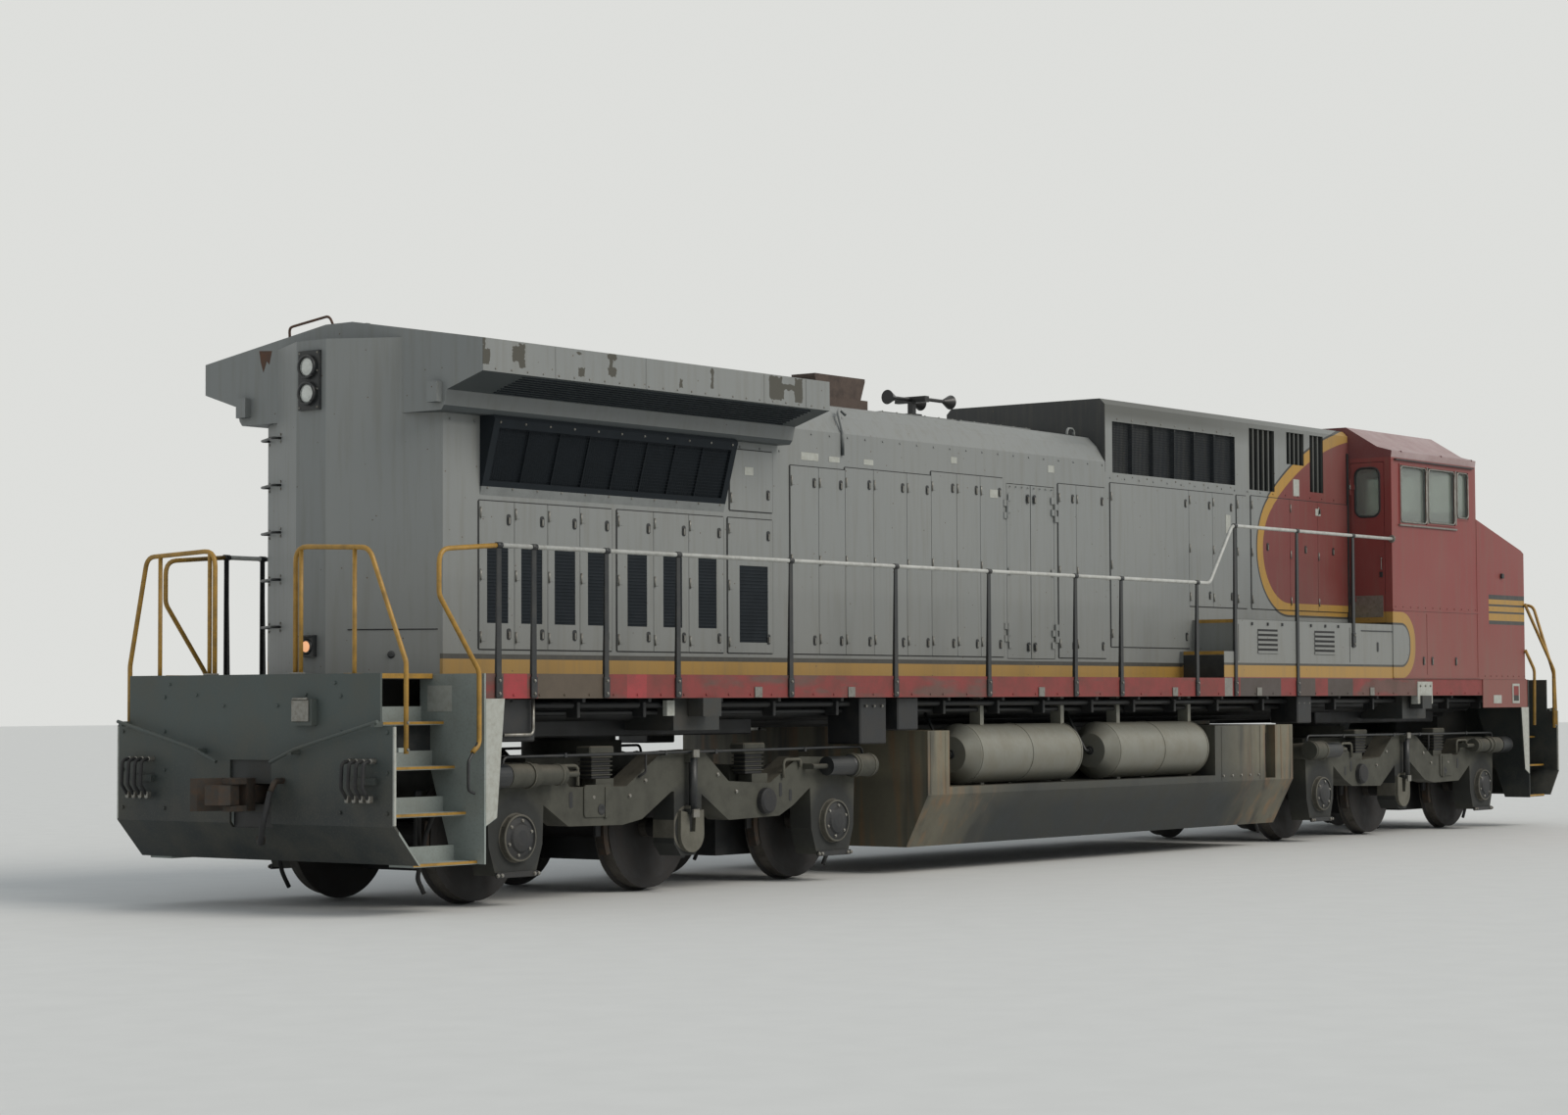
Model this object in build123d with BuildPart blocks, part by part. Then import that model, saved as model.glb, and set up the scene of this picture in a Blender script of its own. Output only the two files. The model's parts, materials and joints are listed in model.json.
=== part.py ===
"""Six-axle diesel-electric freight locomotive with a wide-nose cab.

Frame: +X forward (cab end), +Y to the driver's left, +Z up.
Origin: on the floor under the wheel flanges, midway between the coupler faces.
All sizes are in millimetres.
"""
import os
from math import atan2, cos, sin, tan

from build123d import *

# Rail and wheels
flange_depth = 28
rail = flange_depth
wheel_radius = 508
wheel_width = 140
wheel_back = 680
flange_tip = 14
flange_root = 34
rim_depth = 70
web_depth = 50
axle_radius = 100
journal_radius = 80
journal_end = 1210
axle_height = rail + wheel_radius

# Running clearances
pin_gap = 0.6
seat_gap = 0.3
free_gap = 6

# Underframe
half_length = 10770
deck_half_width = 1520
deck_top = rail + 1790
deck_thickness = 40
deck_under = deck_top - deck_thickness
sill_bottom = rail + 1597
sill_width = 130
centre_sill_half_width = 420
centre_sill_bottom = rail + 1330
centre_sill_end = half_length - 1290
end_plate_x = half_length - 450
end_plate_thickness = 20
end_plate_inner = end_plate_x - end_plate_thickness
jacking_pad_length = 240
jacking_pad_width = 160
jacking_pad_foot = rail + 1445

# Bogies
bogie_x = half_length - 4155
axle_spread = 2070
middle_axle_offset = 52
centre_plate_radius = 380
centre_plate_face = rail + 1180
bowl_wall = 45
bolster_top = rail + 1110
transom_offset = 1060
transom_foot = rail + 830
frame_inner = 1020
frame_outer = 1250
frame_corner = 60
journal_cap_radius = 185
journal_cap_depth = 40

# Step wells and pilots
step_plate_rear = end_plate_x - 985
step_plate_front = end_plate_x - 880
step_plate_thickness = 16
step_outer = 1460
step_inset = 117
tread_depth = 250
tread_thickness = 22
tread_heights = [rail + 360, rail + 730, rail + 1080, rail + 1420]
toe_board_height = 120
toe_board_thickness = 12
well_inner = step_outer - step_inset * len(tread_heights)
pilot_half_width = deck_half_width + 20
pilot_bend = rail + 650
pilot_foot = rail + 356
pilot_foot_x = end_plate_x - 260
pilot_shoulder = rail + 1400
pilot_shoulder_half_width = pilot_half_width - 145
gusset_width = 210
gusset_foot = rail + 685
gusset_foot_width = 122
gusset_thickness = 16

# Couplers
coupler_height = rail + 876
coupler_pin_x = half_length - 1070
coupler_pin_radius = 45
coupler_mouth = 260
shank_half_width = 65
shank_half_height = 70
pocket_half_width = 230
pocket_wall = 60
pocket_clear = 8
knuckle_pin_radius = 22

# Fuel tank and reservoirs
tank_rear = 3265 - bogie_x
tank_front = bogie_x - 3055
tank_half_width = 1450
tank_foot_half_width = 1200
tank_bottom = rail + 220
tank_knee = rail + 700
tank_top = rail + 1290
tank_recess_floor = rail + 770
tank_recess_half_width = 880
tank_recess_rear = tank_rear + 350
tank_recess_front = tank_front - 1680
reservoir_radius = 280
reservoir_height = rail + 1060
reservoir_dish = 110
reservoir_dish_radius = 170
reservoir_length = 1985
reservoir_rear_gap = 410
reservoir_gap = 470
strap_shares = [0.22, 0.93]

# Hoods
hood_half_width = 984
hood_wall = 40
hood_rear_panel_x = 627 - end_plate_x
hood_rear_panel_half_width = 166
hood_chamfer_x = hood_rear_panel_x + 464
hood_rear_top = rail + 4424
hood_roof = rail + 4370
engine_side_top = rail + 4000
grid_top = rail + 4660
grid_chamfer = 60
door_panel_thickness = 10

# Radiator wings
wing_rear = hood_rear_panel_x + 303
wing_front = wing_rear + 4420
wing_half_width = deck_half_width + 42
wing_seat = rail + 3830
wing_fascia_low = rail + 4106
wing_fascia_high = rail + 4360
wing_ridge = rail + 4587
wing_ridge_half_width = 150
wing_neck_half_width = hood_half_width + 166
shutter_inner = 330
shutter_outer = 1380
shutter_depth = 45
screen_rear = wing_rear + 580
screen_front = wing_front - 770
screen_foot = rail + 3205
screen_lean = 166
screen_border = 70
screen_recess = 30

# Cab and nose
nose_front = end_plate_x - 580
nose_bevel_x = nose_front - 360
cab_front = nose_front - 1700
cab_rear = cab_front - 2210
engine_hood_rear = wing_front
engine_hood_front = cab_rear - 5320
cab_half_width = deck_half_width + 10
cab_wall = 60
cab_floor_top = rail + 2410
cab_eave = rail + 4340
cab_roof_edge = rail + 4415
cab_roof_knee_half_width = cab_half_width - 175
cab_roof_knee = rail + 4468
cab_roof_half_width = cab_half_width - 570
cab_roof_top = rail + 4710
cab_roof_thickness = 50
nose_top_rear = rail + 3716
nose_top_front = rail + 3380
nose_front_lean = 130
nose_knee = rail + 3230
nose_face_half_width = cab_half_width - 670
nose_wall = 50
skirt_rear = nose_front - 1560
skirt_bottom = rail + 1450
skirt_thickness = 10

# Raised walkways
raised_top = cab_floor_top
raised_rear = cab_rear - 3590
raised_step_rear = raised_rear - 270
raised_step_top = rail + 2070

# Doors
door_thickness = 30
hinge_radius = 11
hinge_height = 60
hinge_lift = hinge_radius + 2
hinge_strap = 8
hinge_strap_reach = 60
hinge_sides = 6
hinge_shares = [0.15, 0.85]
engine_door_foot = rail + 1970
engine_door_head = rail + 3690
engine_door_width = 428
engine_door_middle = engine_hood_front - 1404
cab_door_inner = hood_half_width + 26
cab_door_outer = cab_half_width - 90
cab_door_foot = cab_floor_top + 20
cab_door_head = rail + 4290
nose_door_middle = 420
nose_door_half_width = 230
nose_door_foot = 70
nose_door_height = 1240

# Handrails
stanchion_width = 36
stanchion_depth = 20
handrail_radius = 19
handrail_top = rail + 2775
raised_rail_top = rail + 3395
end_rail_top = rail + 2760
rail_end_x = 30

os.makedirs("parts", exist_ok=True)


def block(x_span, y_span, z_span, mode=Mode.ADD):
    """A box between two corners, given as (low, high) along each axis."""
    middle = [(low + high) / 2 for low, high in (x_span, y_span, z_span)]
    sizes = [high - low for low, high in (x_span, y_span, z_span)]
    with Locations(tuple(middle)):
        Box(*sizes, mode=mode)


def prism(plane, points, depth, mode=Mode.ADD):
    """A closed outline on a plane, pushed along the plane's normal."""
    with BuildSketch(plane) as outline:
        with BuildLine():
            Polyline(points, close=True)
        make_face()
    extrude(outline.sketch, amount=depth, mode=mode)


def both_ways(points):
    """A half outline given for +Y, closed with its mirror image."""
    return points + [(-y, z) for y, z in reversed(points)]


def both_sides(points):
    """A half plan given for +Y, closed with its mirror image."""
    return points + [(x, -y) for x, y in reversed(points)]


def placed_block(frame, x_span, y_span, z_span, mode=Mode.ADD):
    """A box in a plane's own coordinates; spans may be given in either order."""
    spans = [sorted(span) for span in (x_span, y_span, z_span)]
    middle = [(low + high) / 2 for low, high in spans]
    sizes = [high - low for low, high in spans]
    with Locations(frame.location * Location(tuple(middle))):
        Box(*sizes, mode=mode)


def barrel(frame, z_span):
    """A hinge barrel on a plane's normal, with few flats because it repeats."""
    low, high = z_span
    with BuildSketch(frame.offset(low)) as knuckle_ring:
        RegularPolygon(hinge_radius, hinge_sides, major_radius=False)
    extrude(knuckle_ring.sketch, amount=high - low)


def hinge_fixed(frame, out, height, reach):
    """The two outer barrels of each hinge, with a strap on the wall beside the doorway."""
    for share in hinge_shares:
        for side in (-1, 1):
            foot = share * height + side * hinge_height
            span = (foot - hinge_height / 2, foot + hinge_height / 2)
            barrel(frame, span)
            placed_block(frame, (-reach, 0), (-out * hinge_lift, 0), span)


def hinged_leaf(frame, out, width, height):
    """A door leaf flush with the wall, its middle hinge barrels and their straps.

    The frame stands at the hinge line's foot with x along the leaf and z up the
    hinge; out is +1 where the frame's y points outward and -1 where it doesn't.
    """
    placed_block(frame, (free_gap, width - free_gap),
                 (-out * hinge_lift, -out * (hinge_lift + door_thickness)),
                 (free_gap, height - free_gap))
    for share in hinge_shares:
        middle = share * height
        span = (middle - hinge_height / 2 + seat_gap, middle + hinge_height / 2 - seat_gap)
        barrel(frame, span)
        placed_block(frame, (0, hinge_strap_reach), (-hinge_strap / 2, hinge_strap / 2), span)
        placed_block(frame, (hinge_strap_reach / 2, hinge_strap_reach), (-out * hinge_lift, 0), span)


def upright(height, radius, centre, foot, mode=Mode.ADD):
    """A vertical cylinder on (x, y), from foot up."""
    with Locations((centre[0], centre[1], foot + height / 2)):
        Cylinder(radius, height, mode=mode)


def across(radius, x, z, y_span, mode=Mode.ADD):
    """A cylinder along Y."""
    with BuildSketch(Plane.XZ.offset(-y_span[1])) as disc:
        with Locations((x, z)):
            Circle(radius)
    extrude(disc.sketch, amount=y_span[1] - y_span[0], mode=mode)


def along(radius, y, z, x_span, mode=Mode.ADD):
    """A cylinder along X."""
    with BuildSketch(Plane.YZ.offset(x_span[0])) as disc:
        with Locations((y, z)):
            Circle(radius)
    extrude(disc.sketch, amount=x_span[1] - x_span[0], mode=mode)


def rail_run(points, radius=handrail_radius, mode=Mode.ADD):
    """A round rail along straight runs with mitred corners."""
    with BuildLine() as route:
        Polyline(points)
    with BuildSketch(Plane(origin=route.wire() @ 0, z_dir=route.wire() % 0)) as ring:
        Circle(radius)
    sweep(ring.sketch, path=route.wire(), transition=Transition.RIGHT, mode=mode)


def rounded_prism(plane, points, corner, depth, mode=Mode.ADD):
    """A closed outline with every corner rounded, pushed along the plane's normal."""
    with BuildSketch(plane) as outline:
        with BuildLine():
            Polyline(points, close=True)
        make_face()
        fillet(outline.vertices(), corner)
    extrude(outline.sketch, amount=depth, mode=mode)


def rectangles(plane, spans, depth, heading, mode=Mode.ADD):
    """Rectangles on one plane, given as (low x, high x, low y, high y), pushed together."""
    with BuildSketch(plane) as field:
        for low_x, high_x, low_y, high_y in spans:
            with Locations(((low_x + high_x) / 2, (low_y + high_y) / 2)):
                Rectangle(high_x - low_x, high_y - low_y)
    extrude(field.sketch, amount=depth, dir=heading, mode=mode)


def frame_round(x_span, y_span, z_span, width):
    """A flat border on a side wall, around the opening that the X and Z spans give."""
    block((x_span[0] - width, x_span[1] + width), y_span, (z_span[0] - width, z_span[1] + width))
    block(x_span, y_span, z_span, Mode.SUBTRACT)


def keep(piece, label):
    """Name a finished piece and write it to its own file."""
    piece.part.label = label
    export_step(piece.part, f"parts/{label}.step")


# Underframe: deck, side sills, centre sill, bolsters and draft pockets
pocket_floor = coupler_height - shank_half_height - pocket_clear
pocket_roof = coupler_height + shank_half_height + pocket_clear
with BuildPart() as underframe:
    block((-end_plate_inner, end_plate_inner), (-well_inner, well_inner), (deck_under, deck_top))
    block((-step_plate_rear, step_plate_front), (-deck_half_width, deck_half_width), (deck_under, deck_top))
    block((-centre_sill_end, centre_sill_end), (-centre_sill_half_width, centre_sill_half_width),
          (centre_sill_bottom, deck_under))
    for side in (-1, 1):
        sill = sorted((side * deck_half_width, side * (deck_half_width - sill_width)))
        block((-step_plate_rear, step_plate_front), sill, (sill_bottom, deck_under))
    for end in (-1, 1):
        bolster = sorted((end * (bogie_x - 300), end * (bogie_x + 300)))
        block(bolster, (-deck_half_width + sill_width, deck_half_width - sill_width),
              (centre_sill_bottom, deck_under))
        upright(centre_sill_bottom - centre_plate_face - seat_gap, centre_plate_radius,
                (end * bogie_x, 0), centre_plate_face + seat_gap)
        pocket = sorted((end * centre_sill_end, end * end_plate_inner))
        block(pocket, (-pocket_half_width - pocket_wall, pocket_half_width + pocket_wall),
              (pocket_floor - pocket_wall, deck_under))
        hollow = sorted((end * (centre_sill_end + pocket_wall), end * end_plate_inner))
        block(hollow, (-pocket_half_width, pocket_half_width), (pocket_floor, pocket_roof),
              Mode.SUBTRACT)
        upright(pocket_roof - pocket_floor, coupler_pin_radius, (end * coupler_pin_x, 0), pocket_floor)
        for side in (-1, 1):
            pad_outer = side * (deck_half_width + stanchion_depth * 2)
            pad = sorted((pad_outer, pad_outer - side * jacking_pad_width))
            pad_x = sorted((end * (bogie_x - jacking_pad_length / 2),
                            end * (bogie_x + jacking_pad_length / 2)))
            block(pad_x, pad, (jacking_pad_foot, sill_bottom))
keep(underframe, "underframe")


# Pilots: a plate that bends back under the platform, open for the coupler, with the
# receptacle box, the hose bracket and an uncoupling rod on each side
uncoupling_rod_radius = 14
uncoupling_rod_reach = 80
receptacle_y = (500, 730)
receptacle_z = (rail + 1400, rail + 1600)
hose_bracket_y = (1090, 1370)
hose_bracket_z = (rail + 960, rail + 1010)
uncoupling_route = [
    # across, above rail
    (300, 1120),
    (560, 1220),
    (1445, 1430),
]
for end, label in ((-1, "rear_pilot"), (1, "front_pilot")):
    with BuildPart() as pilot:
        slope = tan(atan2(pilot_bend - pilot_foot, end_plate_x - pilot_foot_x) / 2)
        bend_in = end_plate_thickness * (1 - slope) / (1 + slope)
        outline = [(end * end_plate_x, deck_top), (end * end_plate_x, pilot_bend),
                   (end * pilot_foot_x, pilot_foot),
                   (end * (pilot_foot_x - end_plate_thickness), pilot_foot),
                   (end * end_plate_inner, pilot_bend + bend_in), (end * end_plate_inner, deck_top)]
        prism(Plane.XZ.offset(-pilot_half_width), outline, 2 * pilot_half_width)
        for side in (-1, 1):
            corner = sorted((side * pilot_shoulder_half_width, side * (pilot_half_width + 1)))
            block((min(end * end_plate_x, end * end_plate_inner) - 1,
                   max(end * end_plate_x, end * end_plate_inner) + 1),
                  corner, (pilot_shoulder, deck_top + 1), Mode.SUBTRACT)
        mouth = sorted((end * (pilot_foot_x - 160), end * (end_plate_x + 1)))
        block(mouth, (-pocket_half_width, pocket_half_width),
              (coupler_height - coupler_mouth, coupler_height + coupler_mouth), Mode.SUBTRACT)
        block(sorted((end * end_plate_x, end * (end_plate_x + 60))),
              sorted((-end * -receptacle_y[0], -end * -receptacle_y[1])), receptacle_z)
        for side in (-1, 1):
            block(sorted((end * end_plate_x, end * (end_plate_x + 45))),
                  sorted((side * hose_bracket_y[0], side * hose_bracket_y[1])), hose_bracket_z)
            rod_x = end * (end_plate_x + uncoupling_rod_reach)
            rail_run([(rod_x, side * y, rail + z) for y, z in uncoupling_route], uncoupling_rod_radius)
            for y, z in uncoupling_route[1:]:
                holder = sorted((side * (y - 20), side * (y - 60)))
                block(sorted((end * end_plate_x, rod_x + end * 10)), holder, (rail + z - 40, rail + z))
    keep(pilot, label)


# Step wells: treads with toe boards that climb inward, a side plate and a tapering gusset
for end, plate_x, gusset_top, label in ((-1, step_plate_rear, sill_bottom, "rear_steps"),
                                        (1, step_plate_front, skirt_bottom, "front_steps")):
    with BuildPart() as steps:
        plate_face = plate_x + step_plate_thickness
        for side in (-1, 1):
            for place, height in enumerate(tread_heights):
                edge = step_outer - place * step_inset
                back = edge - tread_depth
                reach = end_plate_inner if height > pilot_bend else pilot_foot_x - end_plate_thickness
                well = sorted((end * plate_face, end * reach))
                block(well, sorted((side * edge, side * back)), (height - tread_thickness, height))
                block(well, sorted((side * back, side * (back + toe_board_thickness))),
                      (height, height + toe_board_height))
            low_back = step_outer - tread_depth
            high_back = low_back - step_inset * (len(tread_heights) - 1)
            plate = [(side * pilot_half_width, tread_heights[0] - tread_thickness),
                     (side * low_back, tread_heights[0] - tread_thickness),
                     (side * high_back, tread_heights[-1] - tread_thickness),
                     (side * high_back, deck_under), (side * well_inner, deck_under),
                     (side * well_inner, deck_top), (side * pilot_half_width, deck_top)]
            prism(Plane.YZ.offset(min(end * plate_x, end * plate_face)), plate, step_plate_thickness)
            gusset = [(plate_x, gusset_top), (plate_x - gusset_width, gusset_top),
                      (plate_x - gusset_foot_width, gusset_foot), (plate_x, gusset_foot - 60)]
            outer = max(side * pilot_half_width, side * (pilot_half_width - gusset_thickness))
            prism(Plane.XZ.offset(-outer), [(end * x, z) for x, z in gusset], gusset_thickness)
    keep(steps, label)


# Fuel tank: a wide lower tank with a recess along each side for the reservoirs
gauge_slot_x = (tank_front - 610, tank_front - 390)
gauge_slot_depth = 110
gauge_slot_foot = tank_knee + 20
with BuildPart() as fuel_tank:
    section = both_ways([(tank_foot_half_width, tank_bottom), (tank_half_width, tank_knee),
                         (tank_half_width, tank_top), (centre_sill_half_width, tank_top),
                         (centre_sill_half_width, centre_sill_bottom)])
    prism(Plane.YZ.offset(tank_rear), section, tank_front - tank_rear)
    for side in (-1, 1):
        recess = sorted((side * tank_recess_half_width, side * (tank_half_width + 1)))
        block((tank_recess_rear, tank_recess_front), recess,
              (tank_recess_floor, tank_top + 1), Mode.SUBTRACT)
        slot = sorted((side * (tank_half_width - gauge_slot_depth), side * (tank_half_width + 1)))
        block(gauge_slot_x, slot, (gauge_slot_foot, tank_top + 1), Mode.SUBTRACT)
keep(fuel_tank, "fuel_tank")


# Air reservoirs: two dished cylinders in each recess, on saddles and hung by straps
with BuildPart() as air_reservoirs:
    reservoir_y = tank_recess_half_width + 20 + reservoir_radius
    for side in (-1, 1):
        for place in range(2):
            rear = tank_recess_rear + reservoir_rear_gap + place * (reservoir_length + reservoir_gap)
            front = rear + reservoir_length
            half_profile = [(rear, 0), (rear, reservoir_dish_radius),
                            (rear + reservoir_dish, reservoir_radius),
                            (front - reservoir_dish, reservoir_radius),
                            (front, reservoir_dish_radius), (front, 0)]
            with BuildSketch(Plane(origin=(0, side * reservoir_y, reservoir_height), x_dir=(1, 0, 0),
                                   z_dir=(0, -1, 0))):
                with BuildLine():
                    Polyline(half_profile, close=True)
                make_face()
            revolve(axis=Axis((0, side * reservoir_y, reservoir_height), (1, 0, 0)))
            for share in strap_shares:
                strap = rear + reservoir_length * share
                strap_y = sorted((side * (reservoir_y - 60), side * (reservoir_y + 60)))
                block((strap - 30, strap + 30), strap_y,
                      (tank_recess_floor, reservoir_height - reservoir_radius * 0.9))
                block((strap - 30, strap + 30), strap_y,
                      (reservoir_height + reservoir_radius * 0.9, deck_under))
keep(air_reservoirs, "air_reservoirs")


# Radiator hood: side walls and the three-panel rear end
with BuildPart() as radiator_hood:
    plan = [(hood_rear_panel_x, hood_rear_panel_half_width), (hood_chamfer_x, hood_half_width),
            (engine_hood_rear, hood_half_width)]
    prism(Plane.XY.offset(deck_top), both_sides(plan), hood_rear_top - deck_top)
    inner = hood_half_width - hood_wall
    room = [(hood_rear_panel_x + hood_wall, hood_rear_panel_half_width),
            (hood_chamfer_x + hood_wall, inner), (engine_hood_rear + 1, inner)]
    prism(Plane.XY.offset(deck_top), both_sides(room), hood_rear_top - hood_wall - deck_top,
          Mode.SUBTRACT)
    block((wing_rear, engine_hood_rear + 1), (-hood_half_width - 1, hood_half_width + 1),
          (wing_seat, hood_rear_top + 1), Mode.SUBTRACT)
keep(radiator_hood, "radiator_hood")


# Radiator wings: the wide roof that overhangs the hood, with shutter bays on its slopes
shutter_bays = 4
shutter_slats = 8
shutter_end_gap = 160
shutter_bay_gap = 70
slat_thickness = 14
slat_drop = 6
wing_pitch = atan2(wing_ridge - wing_fascia_high, wing_half_width - wing_ridge_half_width)


def slope_plane(side, drop):
    """One slope of the wing roof, lowered by a drop, with x along the locomotive."""
    normal = Vector(0, side * sin(wing_pitch), cos(wing_pitch))
    ridge = Vector(0, side * wing_ridge_half_width, wing_ridge)
    return Plane(origin=ridge - normal * drop, x_dir=(1, 0, 0), z_dir=normal)


with BuildPart() as radiator_wings:
    section = both_ways([(wing_neck_half_width - 30, wing_seat), (wing_neck_half_width, wing_seat + 37),
                         (wing_neck_half_width + 30, wing_seat + 155), (wing_half_width, wing_fascia_low),
                         (wing_half_width, wing_fascia_high), (wing_ridge_half_width, wing_ridge)])
    prism(Plane.YZ.offset(wing_rear), section, wing_front - wing_rear)
    bay_room = wing_front - wing_rear - 2 * shutter_end_gap - (shutter_bays - 1) * shutter_bay_gap
    bay_length = bay_room / shutter_bays
    bay_rears = [wing_rear + shutter_end_gap + bay * (bay_length + shutter_bay_gap)
                 for bay in range(shutter_bays)]
    slat_rears = [rear + (slat + 0.5) * bay_length / shutter_slats - slat_thickness / 2
                  for rear in bay_rears for slat in range(shutter_slats)]
    for side in (-1, 1):
        near, far = sorted((side * shutter_inner, side * shutter_outer))
        into = -slope_plane(side, 0).z_dir
        rectangles(slope_plane(side, 0), [(rear, rear + bay_length, near, far) for rear in bay_rears],
                   shutter_depth, into, Mode.SUBTRACT)
        rectangles(slope_plane(side, slat_drop),
                   [(rear, rear + slat_thickness, near, far) for rear in slat_rears],
                   shutter_depth - slat_drop, into)
        lug = sorted((side * (hood_half_width + 36), side * (hood_half_width + 146)))
        block((wing_rear - 60, wing_rear), lug, (wing_seat + 60, wing_seat + 220))
keep(radiator_wings, "radiator_wings")


# Radiator intake screens: framed panels that lean outward under the wings
screen_ribs = 8
rib_thickness = 10
rib_drop = 6
screen_height = wing_seat - 30 - screen_foot


def screen_plane(side, drop):
    """The leaning face of one screen, set back by a drop; -side * y runs up it."""
    normal = Vector(0, side * screen_height, -screen_lean).normalized()
    foot = Vector(0, side * hood_half_width, screen_foot)
    return Plane(origin=foot - normal * drop, x_dir=(1, 0, 0), z_dir=normal)


with BuildPart() as radiator_screens:
    opening = (screen_rear + screen_border, screen_front - screen_border)
    pitch = (opening[1] - opening[0]) / screen_ribs
    for side in (-1, 1):
        wedge = [(side * hood_half_width, screen_foot), (side * hood_half_width, wing_seat),
                 (side * (hood_half_width + screen_lean - 20), wing_seat),
                 (side * (hood_half_width + screen_lean), wing_seat - 30)]
        prism(Plane.YZ.offset(screen_rear), wedge, screen_front - screen_rear)
        near, far = sorted((-side * 0.2 * screen_height, -side * 0.92 * screen_height))
        into = -screen_plane(side, 0).z_dir
        rectangles(screen_plane(side, 0), [(opening[0], opening[1], near, far)], screen_recess, into,
                   Mode.SUBTRACT)
        rib_rears = [opening[0] + rib * pitch - rib_thickness / 2 for rib in range(1, screen_ribs)]
        rectangles(screen_plane(side, rib_drop),
                   [(rear, rear + rib_thickness, near, far) for rear in rib_rears],
                   screen_recess - rib_drop, into)
keep(radiator_screens, "radiator_screens")


# Engine hood: a hollow body with rounded shoulders and four doorways
hood_section = [(hood_half_width, deck_top), (hood_half_width, engine_side_top), (884, rail + 4164),
                (785, rail + 4260), (540, rail + 4306), (160, hood_roof)]


def engine_door_frame(side, edge):
    """The hinge line of one engine door, with x along its leaf."""
    return Plane(origin=(engine_door_middle + edge * engine_door_width,
                         side * (hood_half_width + hinge_lift), engine_door_foot),
                 x_dir=(-edge, 0, 0), z_dir=(0, 0, 1))


with BuildPart() as engine_hood:
    prism(Plane.YZ.offset(engine_hood_rear), both_ways(hood_section),
          engine_hood_front - engine_hood_rear)
    room = [(y - hood_wall, z if z == deck_top else z - hood_wall) for y, z in hood_section]
    prism(Plane.YZ.offset(engine_hood_rear), both_ways(room),
          engine_hood_front - engine_hood_rear, Mode.SUBTRACT)
    for side in (-1, 1):
        doorway = sorted((side * (hood_half_width - hood_wall - 1), side * (hood_half_width + 1)))
        block((engine_door_middle - engine_door_width, engine_door_middle + engine_door_width),
              doorway, (engine_door_foot, engine_door_head), Mode.SUBTRACT)
        for edge in (-1, 1):
            hinge_fixed(engine_door_frame(side, edge), -side * edge, engine_door_head - engine_door_foot,
                        hinge_strap_reach)
keep(engine_hood, "engine_hood")


# Engine: one plain block for the diesel and its alternator
with BuildPart() as engine_block:
    block((-4500, -200), (-700, 700), (deck_top, rail + 3850))
    block((-200, 480), (-600, 600), (deck_top, rail + 3100))
keep(engine_block, "engine_block")


# Engine doors: a pair on each side, hinged at their outer edges
for side, side_name in ((-1, "right"), (1, "left")):
    for edge, edge_name in ((-1, "rear"), (1, "front")):
        with BuildPart() as engine_door:
            hinged_leaf(engine_door_frame(side, edge), -side * edge, engine_door_width,
                        engine_door_head - engine_door_foot)
        keep(engine_door, f"engine_door_{side_name}_{edge_name}")


# Hood doors: thin leaves on the side walls, some with louvred vents, the same on both sides
side_doors = [
    # rear x, front x, foot above rail, head above rail
    (-8825, -8422, 1990, 3160),
    (-8416, -8026, 1990, 3160),
    (-8020, -7632, 1990, 3160),
    (-7626, -7228, 1990, 3160),
    (-7159, -6698, 1990, 3160),
    (-6692, -6231, 1990, 3160),
    (-6225, -5751, 1990, 3160),
    (-5690, -5060, 1990, 3160),
    (-5660, -5060, 3230, 3760),
    (-4799, -4385, 1990, 3665),
    (-4379, -3985, 1990, 3665),
    (-3979, -3546, 1990, 3690),
    (-3540, -3017, 1990, 3690),
    (-3011, -2618, 1990, 3690),
    (-2612, -2194, 1990, 3730),
    (-2188, -1794, 1990, 3730),
    (-1788, -1392, 1990, 3730),
    (-396, -68, 1990, 3730),
    (-62, 490, 1990, 3730),
    (592, 2166, 2110, 3790),
    (2172, 2668, 2560, 3790),
    (2674, 3140, 2560, 3790),
    (3200, 3416, 2560, 3790),
    (3520, 4392, 2560, 3800),
    (4398, 5050, 2560, 3800),
    (5056, 5770, 2560, 3800),
]
vents = [
    # rear x, front x, foot above rail, head above rail
    (-8738, -8492, 2195, 2800),
    (-8339, -8088, 2195, 2800),
    (-7940, -7688, 2195, 2800),
    (-7532, -7281, 2195, 2800),
    (-7033, -6781, 2195, 2800),
    (-6568, -6319, 2195, 2800),
    (-6100, -5851, 2195, 2800),
    (-5533, -5132, 2080, 2750),
]
vent_slats = 9
vent_slat_height = 22
vent_slat_depth = 5
with BuildPart() as hood_doors:
    leaves = [(rear, front, rail + foot, rail + head) for rear, front, foot, head in side_doors]
    cut_vents = [(rear, front, rail + foot, rail + head) for rear, front, foot, head in vents]
    slats = []
    for rear, front, foot, head in cut_vents:
        pitch = (head - foot) / (vent_slats + 1)
        slats += [(rear, front, foot + slat * pitch - vent_slat_height / 2,
                   foot + slat * pitch + vent_slat_height / 2) for slat in range(1, vent_slats + 1)]
    for side in (-1, 1):
        wall = Plane.XZ.offset(-side * hood_half_width)
        outward = (0, side, 0)
        rectangles(wall, leaves, door_panel_thickness, outward)
        rectangles(wall, cut_vents, door_panel_thickness, outward, Mode.SUBTRACT)
        rectangles(wall, slats, vent_slat_depth, outward)
keep(hood_doors, "hood_doors")


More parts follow.
